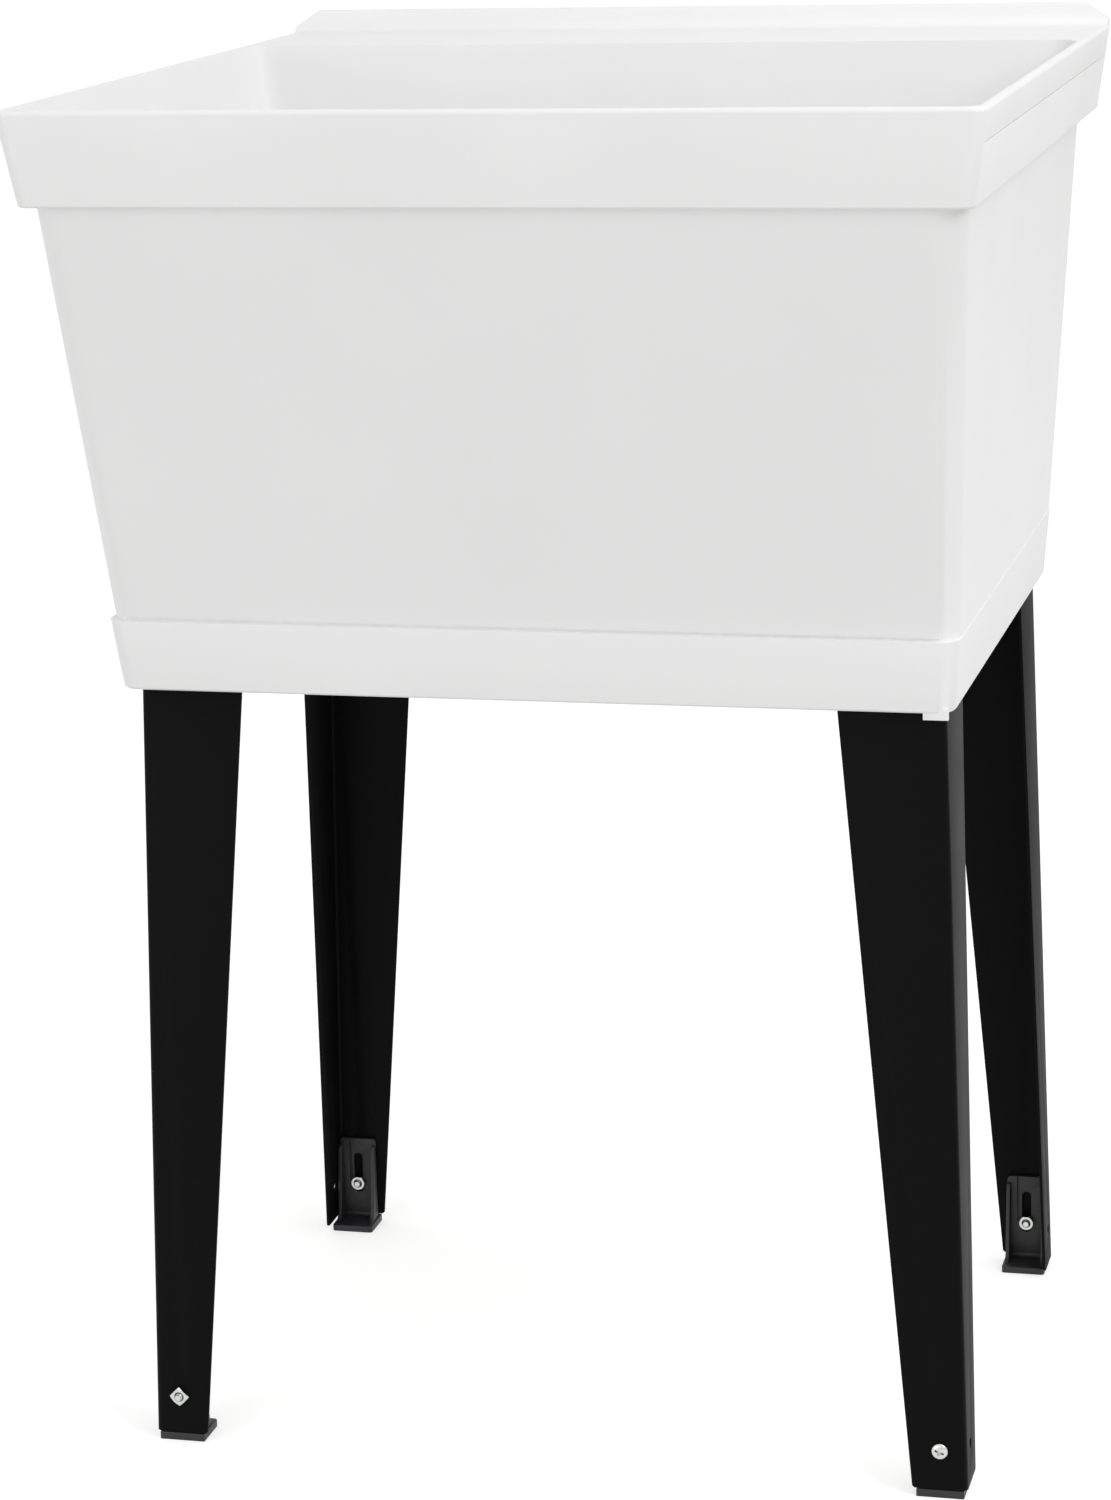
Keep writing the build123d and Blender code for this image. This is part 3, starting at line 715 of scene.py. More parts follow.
def shading_by_angle(angle_deg: float) -> Tree:
    """Node group that joins split corners and shades smooth, except across sharp edges.

    Args:
        angle_deg: edges that turn by more than this stay sharp.

    Returns:
        The geometry node group, made once for each angle.
    """
    name = f"smooth_below_{angle_deg:g}"
    if name in bpy.data.node_groups:
        return bpy.data.node_groups[name]
    tree = bpy.data.node_groups.new(name, "GeometryNodeTree")
    for way in ("INPUT", "OUTPUT"):
        tree.interface.new_socket("Geometry", in_out=way, socket_type="NodeSocketGeometry")
    start = add(tree, "NodeGroupInput")
    values = {"Geometry": start.outputs[0], "Distance": MERGE_MM * MM}
    joined = add(tree, "GeometryNodeMergeByDistance", values)
    turn = add(tree, "GeometryNodeInputMeshEdgeAngle")
    values = {0: turn.outputs["Unsigned Angle"], 1: math.radians(angle_deg)}
    ways = {"data_type": "FLOAT", "operation": "GREATER_THAN"}
    sharp = add(tree, "FunctionNodeCompare", values, **ways)
    values = {"Mesh": joined.outputs["Geometry"], "Remove Custom": True}
    values |= {"Edge Sharpness": sharp.outputs["Result"], "Face Sharpness": False}
    shaded = add(tree, "GeometryNodeSetMeshNormal", values, mode="SHARPNESS")
    add(tree, "NodeGroupOutput", {0: shaded.outputs["Mesh"]})
    return tree


def shade(thing: bpy.types.Object, angle_deg: float) -> None:
    """Shades an object smooth, except across edges that turn by more than the angle."""
    thing.modifiers.new("shading", "NODES").node_group = shading_by_angle(angle_deg)


def ease_cad(thing: bpy.types.Object, radius: float, sharp_deg: float = 35.0) -> None:
    """Rounds the hard edges of a CAD solid by modifiers alone, so its own mesh stays as it is.

    Args:
        thing: the CAD node.
        radius: how far the round reaches on each side of an edge.
        sharp_deg: edges that turn by more than this are rounded.
    """
    thing.modifiers.new("join", "NODES").node_group = shading_by_angle(ALL_SMOOTH_DEG)
    flat = thing.modifiers.new("flat_faces", "DECIMATE")
    flat.decimate_type = "DISSOLVE"
    flat.angle_limit = math.radians(FLAT_DEG)
    rounds = thing.modifiers.new("rounds", "BEVEL")
    rounds.width = radius * MM
    rounds.segments = 3
    rounds.limit_method = "ANGLE"
    rounds.angle_limit = math.radians(sharp_deg)
    rounds.use_clamp_overlap = True
    rounds.miter_outer = "MITER_ARC"
    shade(thing, SHARP_DEG)


def place_piece(
    name: str,
    mesh: Mesh,
    at: Matrix,
    finish: Finish,
    body: str,
    nodes: list[str],
    angle_deg: float = SHARP_DEG,
) -> None:
    """Sets a finished mesh in the frame as one piece of the object.

    Args:
        name: the piece's name.
        mesh: its shape, in millimetres about its own origin.
        at: where its origin and axes lie, in metres.
        finish: its finish.
        body: the CAD body that it moves with.
        nodes: the CAD nodes that it stands for.
        angle_deg: edges that turn by more than this stay sharp.
    """
    mesh.transform(at.to_3x3().to_4x4() @ Matrix.Scale(MM, 4))
    mesh.name = name
    piece = in_scene(name, mesh)
    piece.location = at.translation
    finish.put_on(piece)
    shade(piece, angle_deg)
    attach(piece, body)
    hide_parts(*nodes)
    LOG.info("%s: %d faces, on body %s", name, len(mesh.polygons), body)


def screw_ripple(major: float, pitch: float, depth: float, low: float, high: float) -> Ripple:
    """Makes the ripple of an outside thread for turned().

    Args:
        major: the thread's outside radius, which the outline gives for the threaded stretch.
        pitch: distance from one crest to the next.
        depth: how deep the thread is cut.
        low: height where the thread starts.
        high: height where it ends.

    Returns:
        A function of radius, height and angle that gives the radius there.
    """

    def radius_at(radius: float, height: float, angle: float) -> float:
        """Radius of the thread, or of the plain shank outside it.

        Args:
            radius: radius that the outline gives.
            height: height of the point.
            angle: how far round the axis it is.

        Returns:
            The radius of the surface there.
        """
        if abs(radius - major) > 0.01 or not low < height < high:
            return radius
        phase = (height / pitch - angle / (2 * math.pi)) % 1.0
        return major - depth * abs(2 * phase - 1)

    return radius_at


def flats_ripple(
    sides: int, turn_deg: float, apothem: float, blunt: float, cones: list[Triple]
) -> Ripple:
    """Makes the ripple of a nut's outside for turned(), where the outline says OUTSIDE.

    Args:
        sides: how many flats it has.
        turn_deg: angle at which the first flat faces.
        apothem: distance from the axis to a flat.
        blunt: how far the corners between the flats are rounded off.
        cones: each chamfer's height, its radius there, and how fast that grows away from it.

    Returns:
        A function of radius, height and angle that gives the radius there.
    """
    sector = 2 * math.pi / sides
    corner = apothem / math.cos(sector / 2) - blunt

    def radius_at(radius: float, height: float, angle: float) -> float:
        """Radius of the flats, cut down by the corners' rounding and by the chamfers.

        Args:
            radius: radius that the outline gives.
            height: height of the point.
            angle: how far round the axis it is.

        Returns:
            The radius of the surface there.
        """
        if radius < OUTSIDE:
            return radius
        off = (angle - math.radians(turn_deg) + sector / 2) % sector - sector / 2
        chamfers = [start + abs(height - face) * slope for face, start, slope in cones]
        return min(apothem / math.cos(off), corner, *chamfers)

    return radius_at


def levels(low: float, high: float, step: float) -> list[float]:
    """Evenly spaced heights from low to high, about a step apart."""
    count = max(1, round((high - low) / step))
    return [low + (high - low) * i / count for i in range(count + 1)]


# --- The stand's corners -------------------------------------------------------------------
class Corner(Enum):
    """The four corners of the stand: name, side (left or right) and end (front or back)."""

    FRONT_LEFT = ("front_left", -1, -1)
    FRONT_RIGHT = ("front_right", 1, -1)
    REAR_RIGHT = ("rear_right", 1, 1)
    REAR_LEFT = ("rear_left", -1, 1)

    @property
    def label(self) -> str:
        """The corner's name in node and body names."""
        return self.value[0]

    @property
    def inward(self) -> float:
        """Direction along Y from this corner to the middle: 1 or -1."""
        return -float(self.value[2])

    def holds(self, point: Vector) -> bool:
        """Whether a point is in this corner's quarter of the stand."""
        return point.x * self.value[1] > 0 and point.y * self.value[2] > 0

    def middle_of(self, node: bpy.types.Object) -> Vector:
        """Middle of the part of a node that lies in this corner.

        Args:
            node: a CAD node's object.

        Returns:
            The middle of that part's box.
        """
        found = [v.co for v in node.data.vertices if self.holds(v.co)]
        low = Vector(tuple(min(p[i] for p in found) for i in range(3)))
        high = Vector(tuple(max(p[i] for p in found) for i in range(3)))
        return (low + high) / 2

    def slide_up(self, joints: list[dict]) -> Vector:
        """Upward direction in which this corner's foot slides on its leg."""
        joint = next(j for j in joints if j["name"] == "foot_slide_" + self.label)
        return -Vector(joint["axis"]).normalized()


def axes(origin: Vector, x_axis: Vector, z_axis: Vector) -> Matrix:
    """Placement from an origin and two axes.

    Args:
        origin: where the piece's origin goes.
        x_axis: direction of its X axis.
        z_axis: direction of its Z axis, square to X.

    Returns:
        The placement matrix.
    """
    y_axis = z_axis.cross(x_axis)
    place = Matrix((x_axis, y_axis, z_axis)).transposed().to_4x4()
    place.translation = origin
    return place


# --- Sub-assemblies ------------------------------------------------------------------------
@dataclass
class Tub:
    """The one-piece moulding: basin, apron, deck, ridge, skirt and leg sockets."""

    edge: float = 0.9

    def dress(self, nodes: dict[str, bpy.types.Object]) -> None:
        """Eases the moulding's edges and gives it its finish.

        Args:
            nodes: the CAD nodes' objects by name.
        """
        ease_cad(nodes["tub"], self.edge)
        TUB_WHITE.put_on(nodes["tub"])
        LOG.info("tub: CAD solid, edges eased by %.1f mm", self.edge)


@dataclass
class AngleLegs:
    """Four tapered legs, each bent from sheet steel and powder coated."""

    edge: float = 0.45

    def dress(self, nodes: dict[str, bpy.types.Object]) -> None:
        """Eases the sheared edges and coats the legs.

        Args:
            nodes: the CAD nodes' objects by name.
        """
        for corner in Corner:
            leg = nodes["leg_" + corner.label]
            ease_cad(leg, self.edge)
            LEG_BLACK.put_on(leg)
            LOG.info("%s: CAD solid, edges eased by %.2f mm", leg.name, self.edge)


@dataclass
class LevellingFoot:
    """Slotted foot: a back plate between two ribs on a flared base. Drawn with Y inwards, Z up."""

    steel: float = 1.9
    gap: float = 0.3
    plate_width: float = 27.4
    plate_thick: float = 3.0
    plate_low: float = 0.5
    height: float = 65.0
    corner: float = 3.6
    base_width: float = 30.0
    base_low: float = -0.6
    base_height: float = 5.0
    base_reach: float = 26.0
    base_corner: float = 2.4
    heel_corner: float = 0.8
    base_edge: float = 0.6
    rib_thick: float = 2.6
    rib_low: float = 1.0
    rib_top: float = 60.0
    rib_reach_top: float = 8.0
    rib_reach_low: float = 14.0
    rib_chamfer: Point = (2.0, 2.5)
    rib_sunk: float = 0.2
    flare_z: float = 13.5
    flare_bend: float = 1.2
    flare_reach: float = 9.0
    cove_radius: float = 4.0
    cove_sunk: float = 0.3
    cove_short: float = 1.0
    slot_width: float = 6.2
    slot_low: float = 26.5
    slot_high: float = 50.4
    groove_x: float = 6.0
    groove_width: float = 1.0
    groove_depth: float = 1.1
    groove_low: float = 32.0
    groove_mouth: float = 0.3
    groove_end: float = 0.4
    strip_over: float = 1.0
    strip_short: float = 0.4
    strip_sunk: float = 0.1
    edge: float = 0.45
    hidden_edge: float = 0.05

    def plate(self) -> Mesh:
        """Back plate with its slot, in the XZ plane, cut right through along the groove.

        Returns:
            The plate, drawn flat.
        """
        half, top = self.plate_width / 2, self.height
        near, far = self.groove_x - self.groove_width / 2, self.groove_x + self.groove_width / 2
        outline = [(-half, self.plate_low), (half, self.plate_low), (half, top), (far, top)]
        outline += [(far, self.groove_low), (near, self.groove_low), (near, top), (-half, top)]
        mouth, end = self.groove_mouth, self.groove_end
        outline = eased(outline, [0, 0, self.corner, mouth, end, end, mouth, self.corner], 6)
        r = self.slot_width / 2
        slot = [
            (r * math.cos(a), (self.slot_high if a <= math.pi else self.slot_low) + r * math.sin(a))
            for a in [math.pi * i / 12 for i in range(25)]
        ]
        return slab(outline, [slot], -self.gap - self.plate_thick, -self.gap, self.edge)

    def groove_floor(self) -> Mesh:
        """Strip that closes the groove at its depth. The level is read by the groove.

        Returns:
            The strip, drawn flat as the plate is.
        """
        near, far = self.groove_x - self.groove_width, self.groove_x + self.groove_width
        low, high = self.groove_low - self.strip_over, self.height - self.strip_short
        face = -self.gap - self.plate_thick + self.groove_depth
        strip = box_outline(near, far, low, high)
        return slab(strip, [], face, -self.gap - self.strip_sunk, self.hidden_edge)

    def rib(self) -> Mesh:
        """Side rib in the YZ plane: it widens downwards and flares onto the base.

        Returns:
            The rib, drawn flat.
        """
        low_y, back_y = self.rib_reach_low, self.gap + self.rib_sunk
        toe_y = low_y + self.flare_reach
        start = Vector((low_y, self.flare_z))
        corner = Vector((low_y + self.flare_bend, self.base_height))
        toe = Vector((toe_y, self.base_height - self.rib_sunk))
        flare = bowed(start, corner, toe, 6)
        in_by, down_by = self.rib_chamfer
        outline = [(back_y, self.rib_low), (back_y, self.rib_top)]
        outline += [(self.rib_reach_top - in_by, self.rib_top)]
        outline += [(self.rib_reach_top, self.rib_top - down_by), *flare, (toe_y, self.rib_low)]
        return slab(outline, [], 0.0, self.rib_thick, self.edge)

    def base(self) -> Mesh:
        """Base block in the XY plane, with rounded corners. Its sole is levelled later.

        Returns:
            The block.
        """
        half = self.base_width / 2
        outline = box_outline(-half, half, -self.steel, self.base_reach)
        rounds = [self.heel_corner, self.heel_corner, self.base_corner, self.base_corner]
        return slab(eased(outline, rounds), [], self.base_low, self.base_height, self.base_edge)

    def cove(self) -> Mesh:
        """Hollow round between the back plate and the base, in the YZ plane.

        Returns:
            The cove, drawn flat.
        """
        heel = self.gap + self.plate_thick - self.cove_sunk
        top, r = self.base_height - self.cove_sunk, self.cove_radius
        turns = [math.pi / 2 * i / 8 for i in range(9)]
        arc = [(heel + r - r * math.cos(a), top + r - r * math.sin(a)) for a in turns]
        outline = [(heel, top), *reversed(arc)]
        width = self.plate_width - 2 * self.cove_short
        return slab(outline, [], 0.0, width, self.hidden_edge)

    def mesh(self) -> Mesh:
        """Puts the foot together.

        Returns:
            One mesh of the whole foot.
        """
        upright = Matrix.Rotation(math.radians(90), 4, "X")
        sideways = Matrix(((0, 0, 1, 0), (1, 0, 0, 0), (0, 1, 0, 0), (0, 0, 0, 1)))
        half = self.plate_width / 2
        return together(
            [
                (self.plate(), upright),
                (self.groove_floor(), upright),
                (self.rib(), Matrix.Translation((-half, 0, 0)) @ sideways),
                (self.rib(), Matrix.Translation((half - self.rib_thick, 0, 0)) @ sideways),
                (self.base(), Matrix.Identity(4)),
                (self.cove(), Matrix.Translation((self.cove_short - half, 0, 0)) @ sideways),
            ]
        )

    def levelled(self, mesh: Mesh, place: Matrix) -> Mesh:
        """Flattens the sole onto the floor, which the leaning foot meets at a slight angle.

        Args:
            mesh: the foot, in millimetres about its own origin.
            place: where it goes, in metres.

        Returns:
            The same mesh, with nothing below the floor.
        """
        leaning = place.to_3x3()
        back = leaning.inverted()
        for vert in mesh.vertices:
            height = place.translation.z / MM + (leaning @ vert.co).z
            if height < 0:
                vert.co += back @ Vector((0, 0, -height))
        return mesh

    def build(self, frame: dict) -> None:
        """Sets a foot at each corner, in place of the CAD one.

        Args:
            frame: the loaded frame.
        """
        for corner in Corner:
            node = "foot_" + corner.label
            low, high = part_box(node)
            outer_y = low.y if corner.inward > 0 else high.y
            flange_y = outer_y + corner.inward * self.steel * MM
            origin = Vector(((low.x + high.x) / 2, flange_y, 0.0))
            up = corner.slide_up(frame["joints"])
            place = axes(origin, Vector((corner.inward, 0, 0)), up)
            mesh = self.levelled(self.mesh(), place)
            place_piece(node + "_moulded", mesh, place, FOOT_GREY, node, [node])


class NutShape(Enum):
    SQUARE = (4, 0.0, 45.0)
    HEXAGON = (6, 30.0, 0.0)


@dataclass
class FootFastening:
    """Pan-head bolt and nut that clamp each foot to its leg. Drawn along Z from head to end."""

    shank_radius: float = 2.4
    shank_start: float = 0.15
    pitch: float = 1.06
    thread_depth: float = 0.42
    thread_ends: Point = (0.5, 0.6)
    tip_length: float = 0.7
    tip_bevel: float = 0.55
    head_radius: float = 5.3
    head_height: float = 3.2
    head_side: float = 0.75
    head_bevel: float = 0.25
    dome_power: float = 0.8
    length: float = 10.9
    recess_width: float = 1.45
    recess_span: float = 6.4
    recess_depth: float = 2.5
    recess_mouth: Point = (1.2, 1.05)
    recess_floor: Point = (0.5, 0.8)
    recess_turn_deg: float = 20.0
    flats: float = 9.5
    nut_thick: float = 3.4
    nut_blunt: float = 0.035
    nut_bore_gap: float = 0.02
    nut_countersink: Point = (0.85, 1.7)
    nut_bevel: float = 0.6
    nut_cones: tuple[Point, Point] = ((1.0, 1.75), (1.03, 4.0))
    bolt_sections: int = 48
    nut_sections: int = 96
    sharp_deg: float = 28.0
    inside_head: Corner = Corner.FRONT_LEFT

    def bolt(self) -> Mesh:
        """Bolt about its own middle: domed head with a cross recess, and a rolled thread.

        Returns:
            The closed mesh.
        """
        r, side, bevel = self.head_radius, self.head_side, self.head_bevel
        dome = self.head_height - side
        turns = [math.pi / 2 * i / 10 for i in range(10)]
        outline = [
            (r * math.sin(a), -side - dome * math.cos(a) ** self.dome_power) for a in turns
        ]
        outline += [(r, -side), (r, -bevel), (r - bevel, 0.0), (self.shank_radius, 0.0)]
        end = self.length
        heights = levels(self.shank_start, end - self.tip_length, self.pitch / 8)
        outline += [(self.shank_radius, z) for z in heights]
        outline += [(self.shank_radius - self.tip_bevel, end), (0.0, end)]
        low, high = self.thread_ends[0], end - self.thread_ends[1]
        thread = screw_ripple(self.shank_radius, self.pitch, self.thread_depth, low, high)
        return cut(turned(outline, self.bolt_sections, thread), self.recess())

    def recess(self) -> Mesh:
        """Tapered cross that cuts the recess of the head.

        Returns:
            The closed cutting mesh.
        """
        form = bmesh.new()
        rings = []
        above, floor = -self.head_height - 1.0, -self.head_height + self.recess_depth
        for height, (spread, swell) in ((above, self.recess_mouth), (floor, self.recess_floor)):
            a, b = self.recess_span * spread / 2, self.recess_width * swell / 2
            quarter = [(a, -b), (a, b), (b, b)]
            angles = [math.radians(self.recess_turn_deg + 90 * i) for i in range(4)]
            turns = [Matrix.Rotation(angle, 2) for angle in angles]
            points = [turn @ Vector(point) for turn in turns for point in quarter]
            rings.append([form.verts.new((x, y, height)) for x, y in points])
        count = len(rings[0])
        for i in range(count):
            k = (i + 1) % count
            form.faces.new((rings[0][i], rings[0][k], rings[1][k], rings[1][i]))
        for ring in rings:
            form.faces.new(ring)
        bmesh.ops.recalc_face_normals(form, faces=form.faces)
        return finished(form)

    def nut(self, shape: NutShape) -> Mesh:
        """Nut about its own middle, with its corners chamfered on the outer face.

        Args:
            shape: square or hexagon.

        Returns:
            The closed mesh, turned as it is fitted.
        """
        sides, turn_deg, fitted_deg = shape.value
        apothem, bore = self.flats / 2, self.shank_radius + self.nut_bore_gap
        high, low = self.nut_thick / 2, -self.nut_thick / 2
        faces = zip((high, low), self.nut_cones)
        cones = [(face, apothem * share, slope) for face, (share, slope) in faces]
        outside = flats_ripple(sides, turn_deg, apothem, self.nut_blunt * self.flats, cones)
        # The rings lie closer where the chamfers bend.
        heights = [high - drop for drop in (0.0, 0.12, 0.3, 0.5, 0.75, 1.05)]
        heights += [low + rise for rise in (0.3, 0.1, 0.0)]
        widen, deep = self.nut_countersink
        outline = [(bore, low + self.nut_bevel), (bore, high - deep), (bore + widen, high)]
        outline += [(OUTSIDE, z) for z in heights] + [(bore + self.nut_bevel, low)]
        mesh = turned(outline, self.nut_sections, outside)
        mesh.transform(Matrix.Rotation(math.radians(fitted_deg), 4, "Z"))
        return mesh

    def build(self, frame: dict) -> None:
        """Sets a bolt and a nut at each corner, in place of the CAD ones.

        Args:
            frame: the loaded frame.
        """
        nodes = frame["nodes"]
        for corner in Corner:
            up = corner.slide_up(frame["joints"])
            across = Vector((1, 0, 0)).cross(up).normalized()
            inwards = across if across.y * corner.inward > 0 else -across
            along = -inwards if corner is self.inside_head else inwards
            x_axis = along.cross(up).normalized()
            bolt = self.bolt()
            bolt.transform(Matrix.Translation((0, 0, (self.head_height - self.length) / 2)))
            front = corner in (Corner.FRONT_LEFT, Corner.FRONT_RIGHT)
            nut = self.nut(NutShape.SQUARE if front else NutShape.HEXAGON)
            group = "foot_nuts_front" if front else "foot_nuts_rear"
            for kind, mesh, node in (("bolt", bolt, "foot_bolts"), ("nut", nut, group)):
                name = f"foot_{kind}_{corner.label}"
                place = axes(corner.middle_of(nodes[node]), x_axis, along)
                place_piece(name, mesh, place, ZINC, "stand", [node], self.sharp_deg)


@dataclass
class Drain:
    """Flanged waste, its gasket, friction washer and locknut. Drawn about the drain's axis."""

    flange_radius: float = 38.0
    flange_thick: float = 1.4
    flange_roll: float = 0.9
    flange_rounds: Triple = (0.15, 0.2, 0.85)
    neck_radius: float = 24.6
    neck_bevel: float = 0.7
    outlet_radius: float = 23.7
    outlet_bevel: float = 1.0
    bore_radius: float = 19.5
    bore_bevel: float = 0.6
    step_below_nut: float = 4.0
    step_relief: Point = (0.3, 0.5)
    pitch: float = 2.2
    thread_depth: float = 0.9
    bar_half: float = 1.5
    bar_drop: float = 14.0
    bar_height: float = 4.0
    bar_edge: float = 0.7
    bar_sunk: float = 0.5
    nut_flats: float = 62.0
    nut_blunt: float = 1.2
    nut_bevel: float = 0.8
    nut_chamfer: float = 3.2
    nut_cones: tuple[Point, Point] = ((0.97, 1.75), (0.96, 5.0))
    gasket_edge: float = 1.0
    washer_edge: float = 0.25
    thread_into_nut: float = 1.0
    waste_sections: int = 128
    ring_sections: int = 96
    nut_sections: int = 180

    def waste(self, seat: float, end: float, step: float, thread_top: float) -> Mesh:
        """Flange, crossbars, and a neck and an outlet with a thread each.

        Args:
            seat: height of the flange's underside.
            end: height of the outlet's end.
            step: height where the neck steps in to the outlet.
            thread_top: height where the neck's thread ends, inside the locknut.

        Returns:
            The mesh, in millimetres above the floor.
        """
        bore, top = self.bore_radius, seat + self.flange_thick
        outline = [(bore, top - self.flange_roll), (bore, end + self.bore_bevel)]
        outline += [(bore + self.bore_bevel, end), (self.outlet_radius - self.outlet_bevel, end)]
        plain, smooth = self.step_relief
        outlet_low = end + self.outlet_bevel
        heights = levels(outlet_low, step - plain, self.pitch / 8)
        outline += [(self.outlet_radius, z) for z in heights]
        outline += [(self.outlet_radius, step), (self.neck_radius - self.neck_bevel, step)]
        neck_low = step + self.neck_bevel
        outline += [(self.neck_radius, z) for z in levels(neck_low, thread_top, self.pitch / 8)]
        rim = [(self.neck_radius, seat), (self.flange_radius, seat)]
        rim += [(self.flange_radius, top), (bore, top)]
        outline += eased(rim, [*self.flange_rounds, self.flange_roll])
        pitch, depth = self.pitch, self.thread_depth
        lower = screw_ripple(self.outlet_radius, pitch, depth, outlet_low, step - smooth)
        upper = screw_ripple(self.neck_radius, pitch, depth, neck_low, thread_top)

        def both(radius: float, height: float, angle: float) -> float:
            """Radius with the outlet's thread and the neck's."""
            return upper(lower(radius, height, angle), height, angle)

        parts = [(turned(outline, self.waste_sections, both), Matrix.Identity(4))]
        reach, half = bore + self.bar_sunk, self.bar_half
        bar_top = seat - self.bar_drop
        for turn_deg in (0, 90):
            flat = box_outline(-reach, reach, -half, half)
            bar = slab(flat, [], bar_top - self.bar_height, bar_top, self.bar_edge)
            parts.append((bar, Matrix.Rotation(math.radians(turn_deg), 4, "Z")))
        return together(parts)

    def ring(self, outer: float, low: float, high: float, edge: float) -> Mesh:
        """Flat ring on the neck with rounded edges, in millimetres above the floor."""
        section = box_outline(self.neck_radius, outer, low, high)
        return turned(eased(section, edge), self.ring_sections)

    def locknut(self, low: float, high: float) -> Mesh:
        """Large hexagonal nut, chamfered below, with a raised washer face on top.

        Args:
            low: height of its lower face.
            high: height of its upper face.

        Returns:
            The mesh, in millimetres above the floor.
        """
        apothem, bore, bevel = self.nut_flats / 2, self.neck_radius, self.nut_bevel
        faces = zip((low, high), self.nut_cones)
        cones = [(face, apothem * share, slope) for face, (share, slope) in faces]
        heights = levels(low, low + self.nut_chamfer, 0.4)
        heights += [high - drop for drop in (1.4, 1.0, 0.5, 0.0)]
        outline = [(bore, high), (bore, low + bevel), (bore + bevel, low)]
        outline += [(OUTSIDE, z) for z in heights]
        outside = flats_ripple(6, 0.0, apothem, self.nut_blunt, cones)
        return turned(outline, self.nut_sections, outside)

    def build(self) -> None:
        """Sets the four drain pieces on the drain's axis, in place of the CAD ones."""
        low, high = (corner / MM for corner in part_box("drain_body"))
        middle = Vector(((low.x + high.x) / 2, (low.y + high.y) / 2, 0))
        axis = Matrix.Translation(middle * MM)
        nut_low, nut_high = (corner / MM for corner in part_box("drain_locknut"))
        seat, step = high.z - self.flange_thick, nut_low.z - self.step_below_nut
        waste = self.waste(seat, low.z, step, nut_low.z + self.thread_into_nut)
        place_piece("drain_waste", waste, axis, STAINLESS, "stand", ["drain_body"])
        flat_rings = (
            ("drain_gasket", GASKET_BLACK, self.gasket_edge),
            ("friction_washer", FIBRE_BROWN, self.washer_edge),
        )
        for name, finish, edge in flat_rings:
            below, above = (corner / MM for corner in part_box(name))
            ring = self.ring((above.x - below.x) / 2, below.z, above.z, edge)
            place_piece(name + "_ring", ring, axis, finish, "stand", [name])
        nut = self.locknut(nut_low.z, nut_high.z)
        place_piece("drain_locknut_chamfered", nut, axis, NUT_WHITE, "stand", ["drain_locknut"])


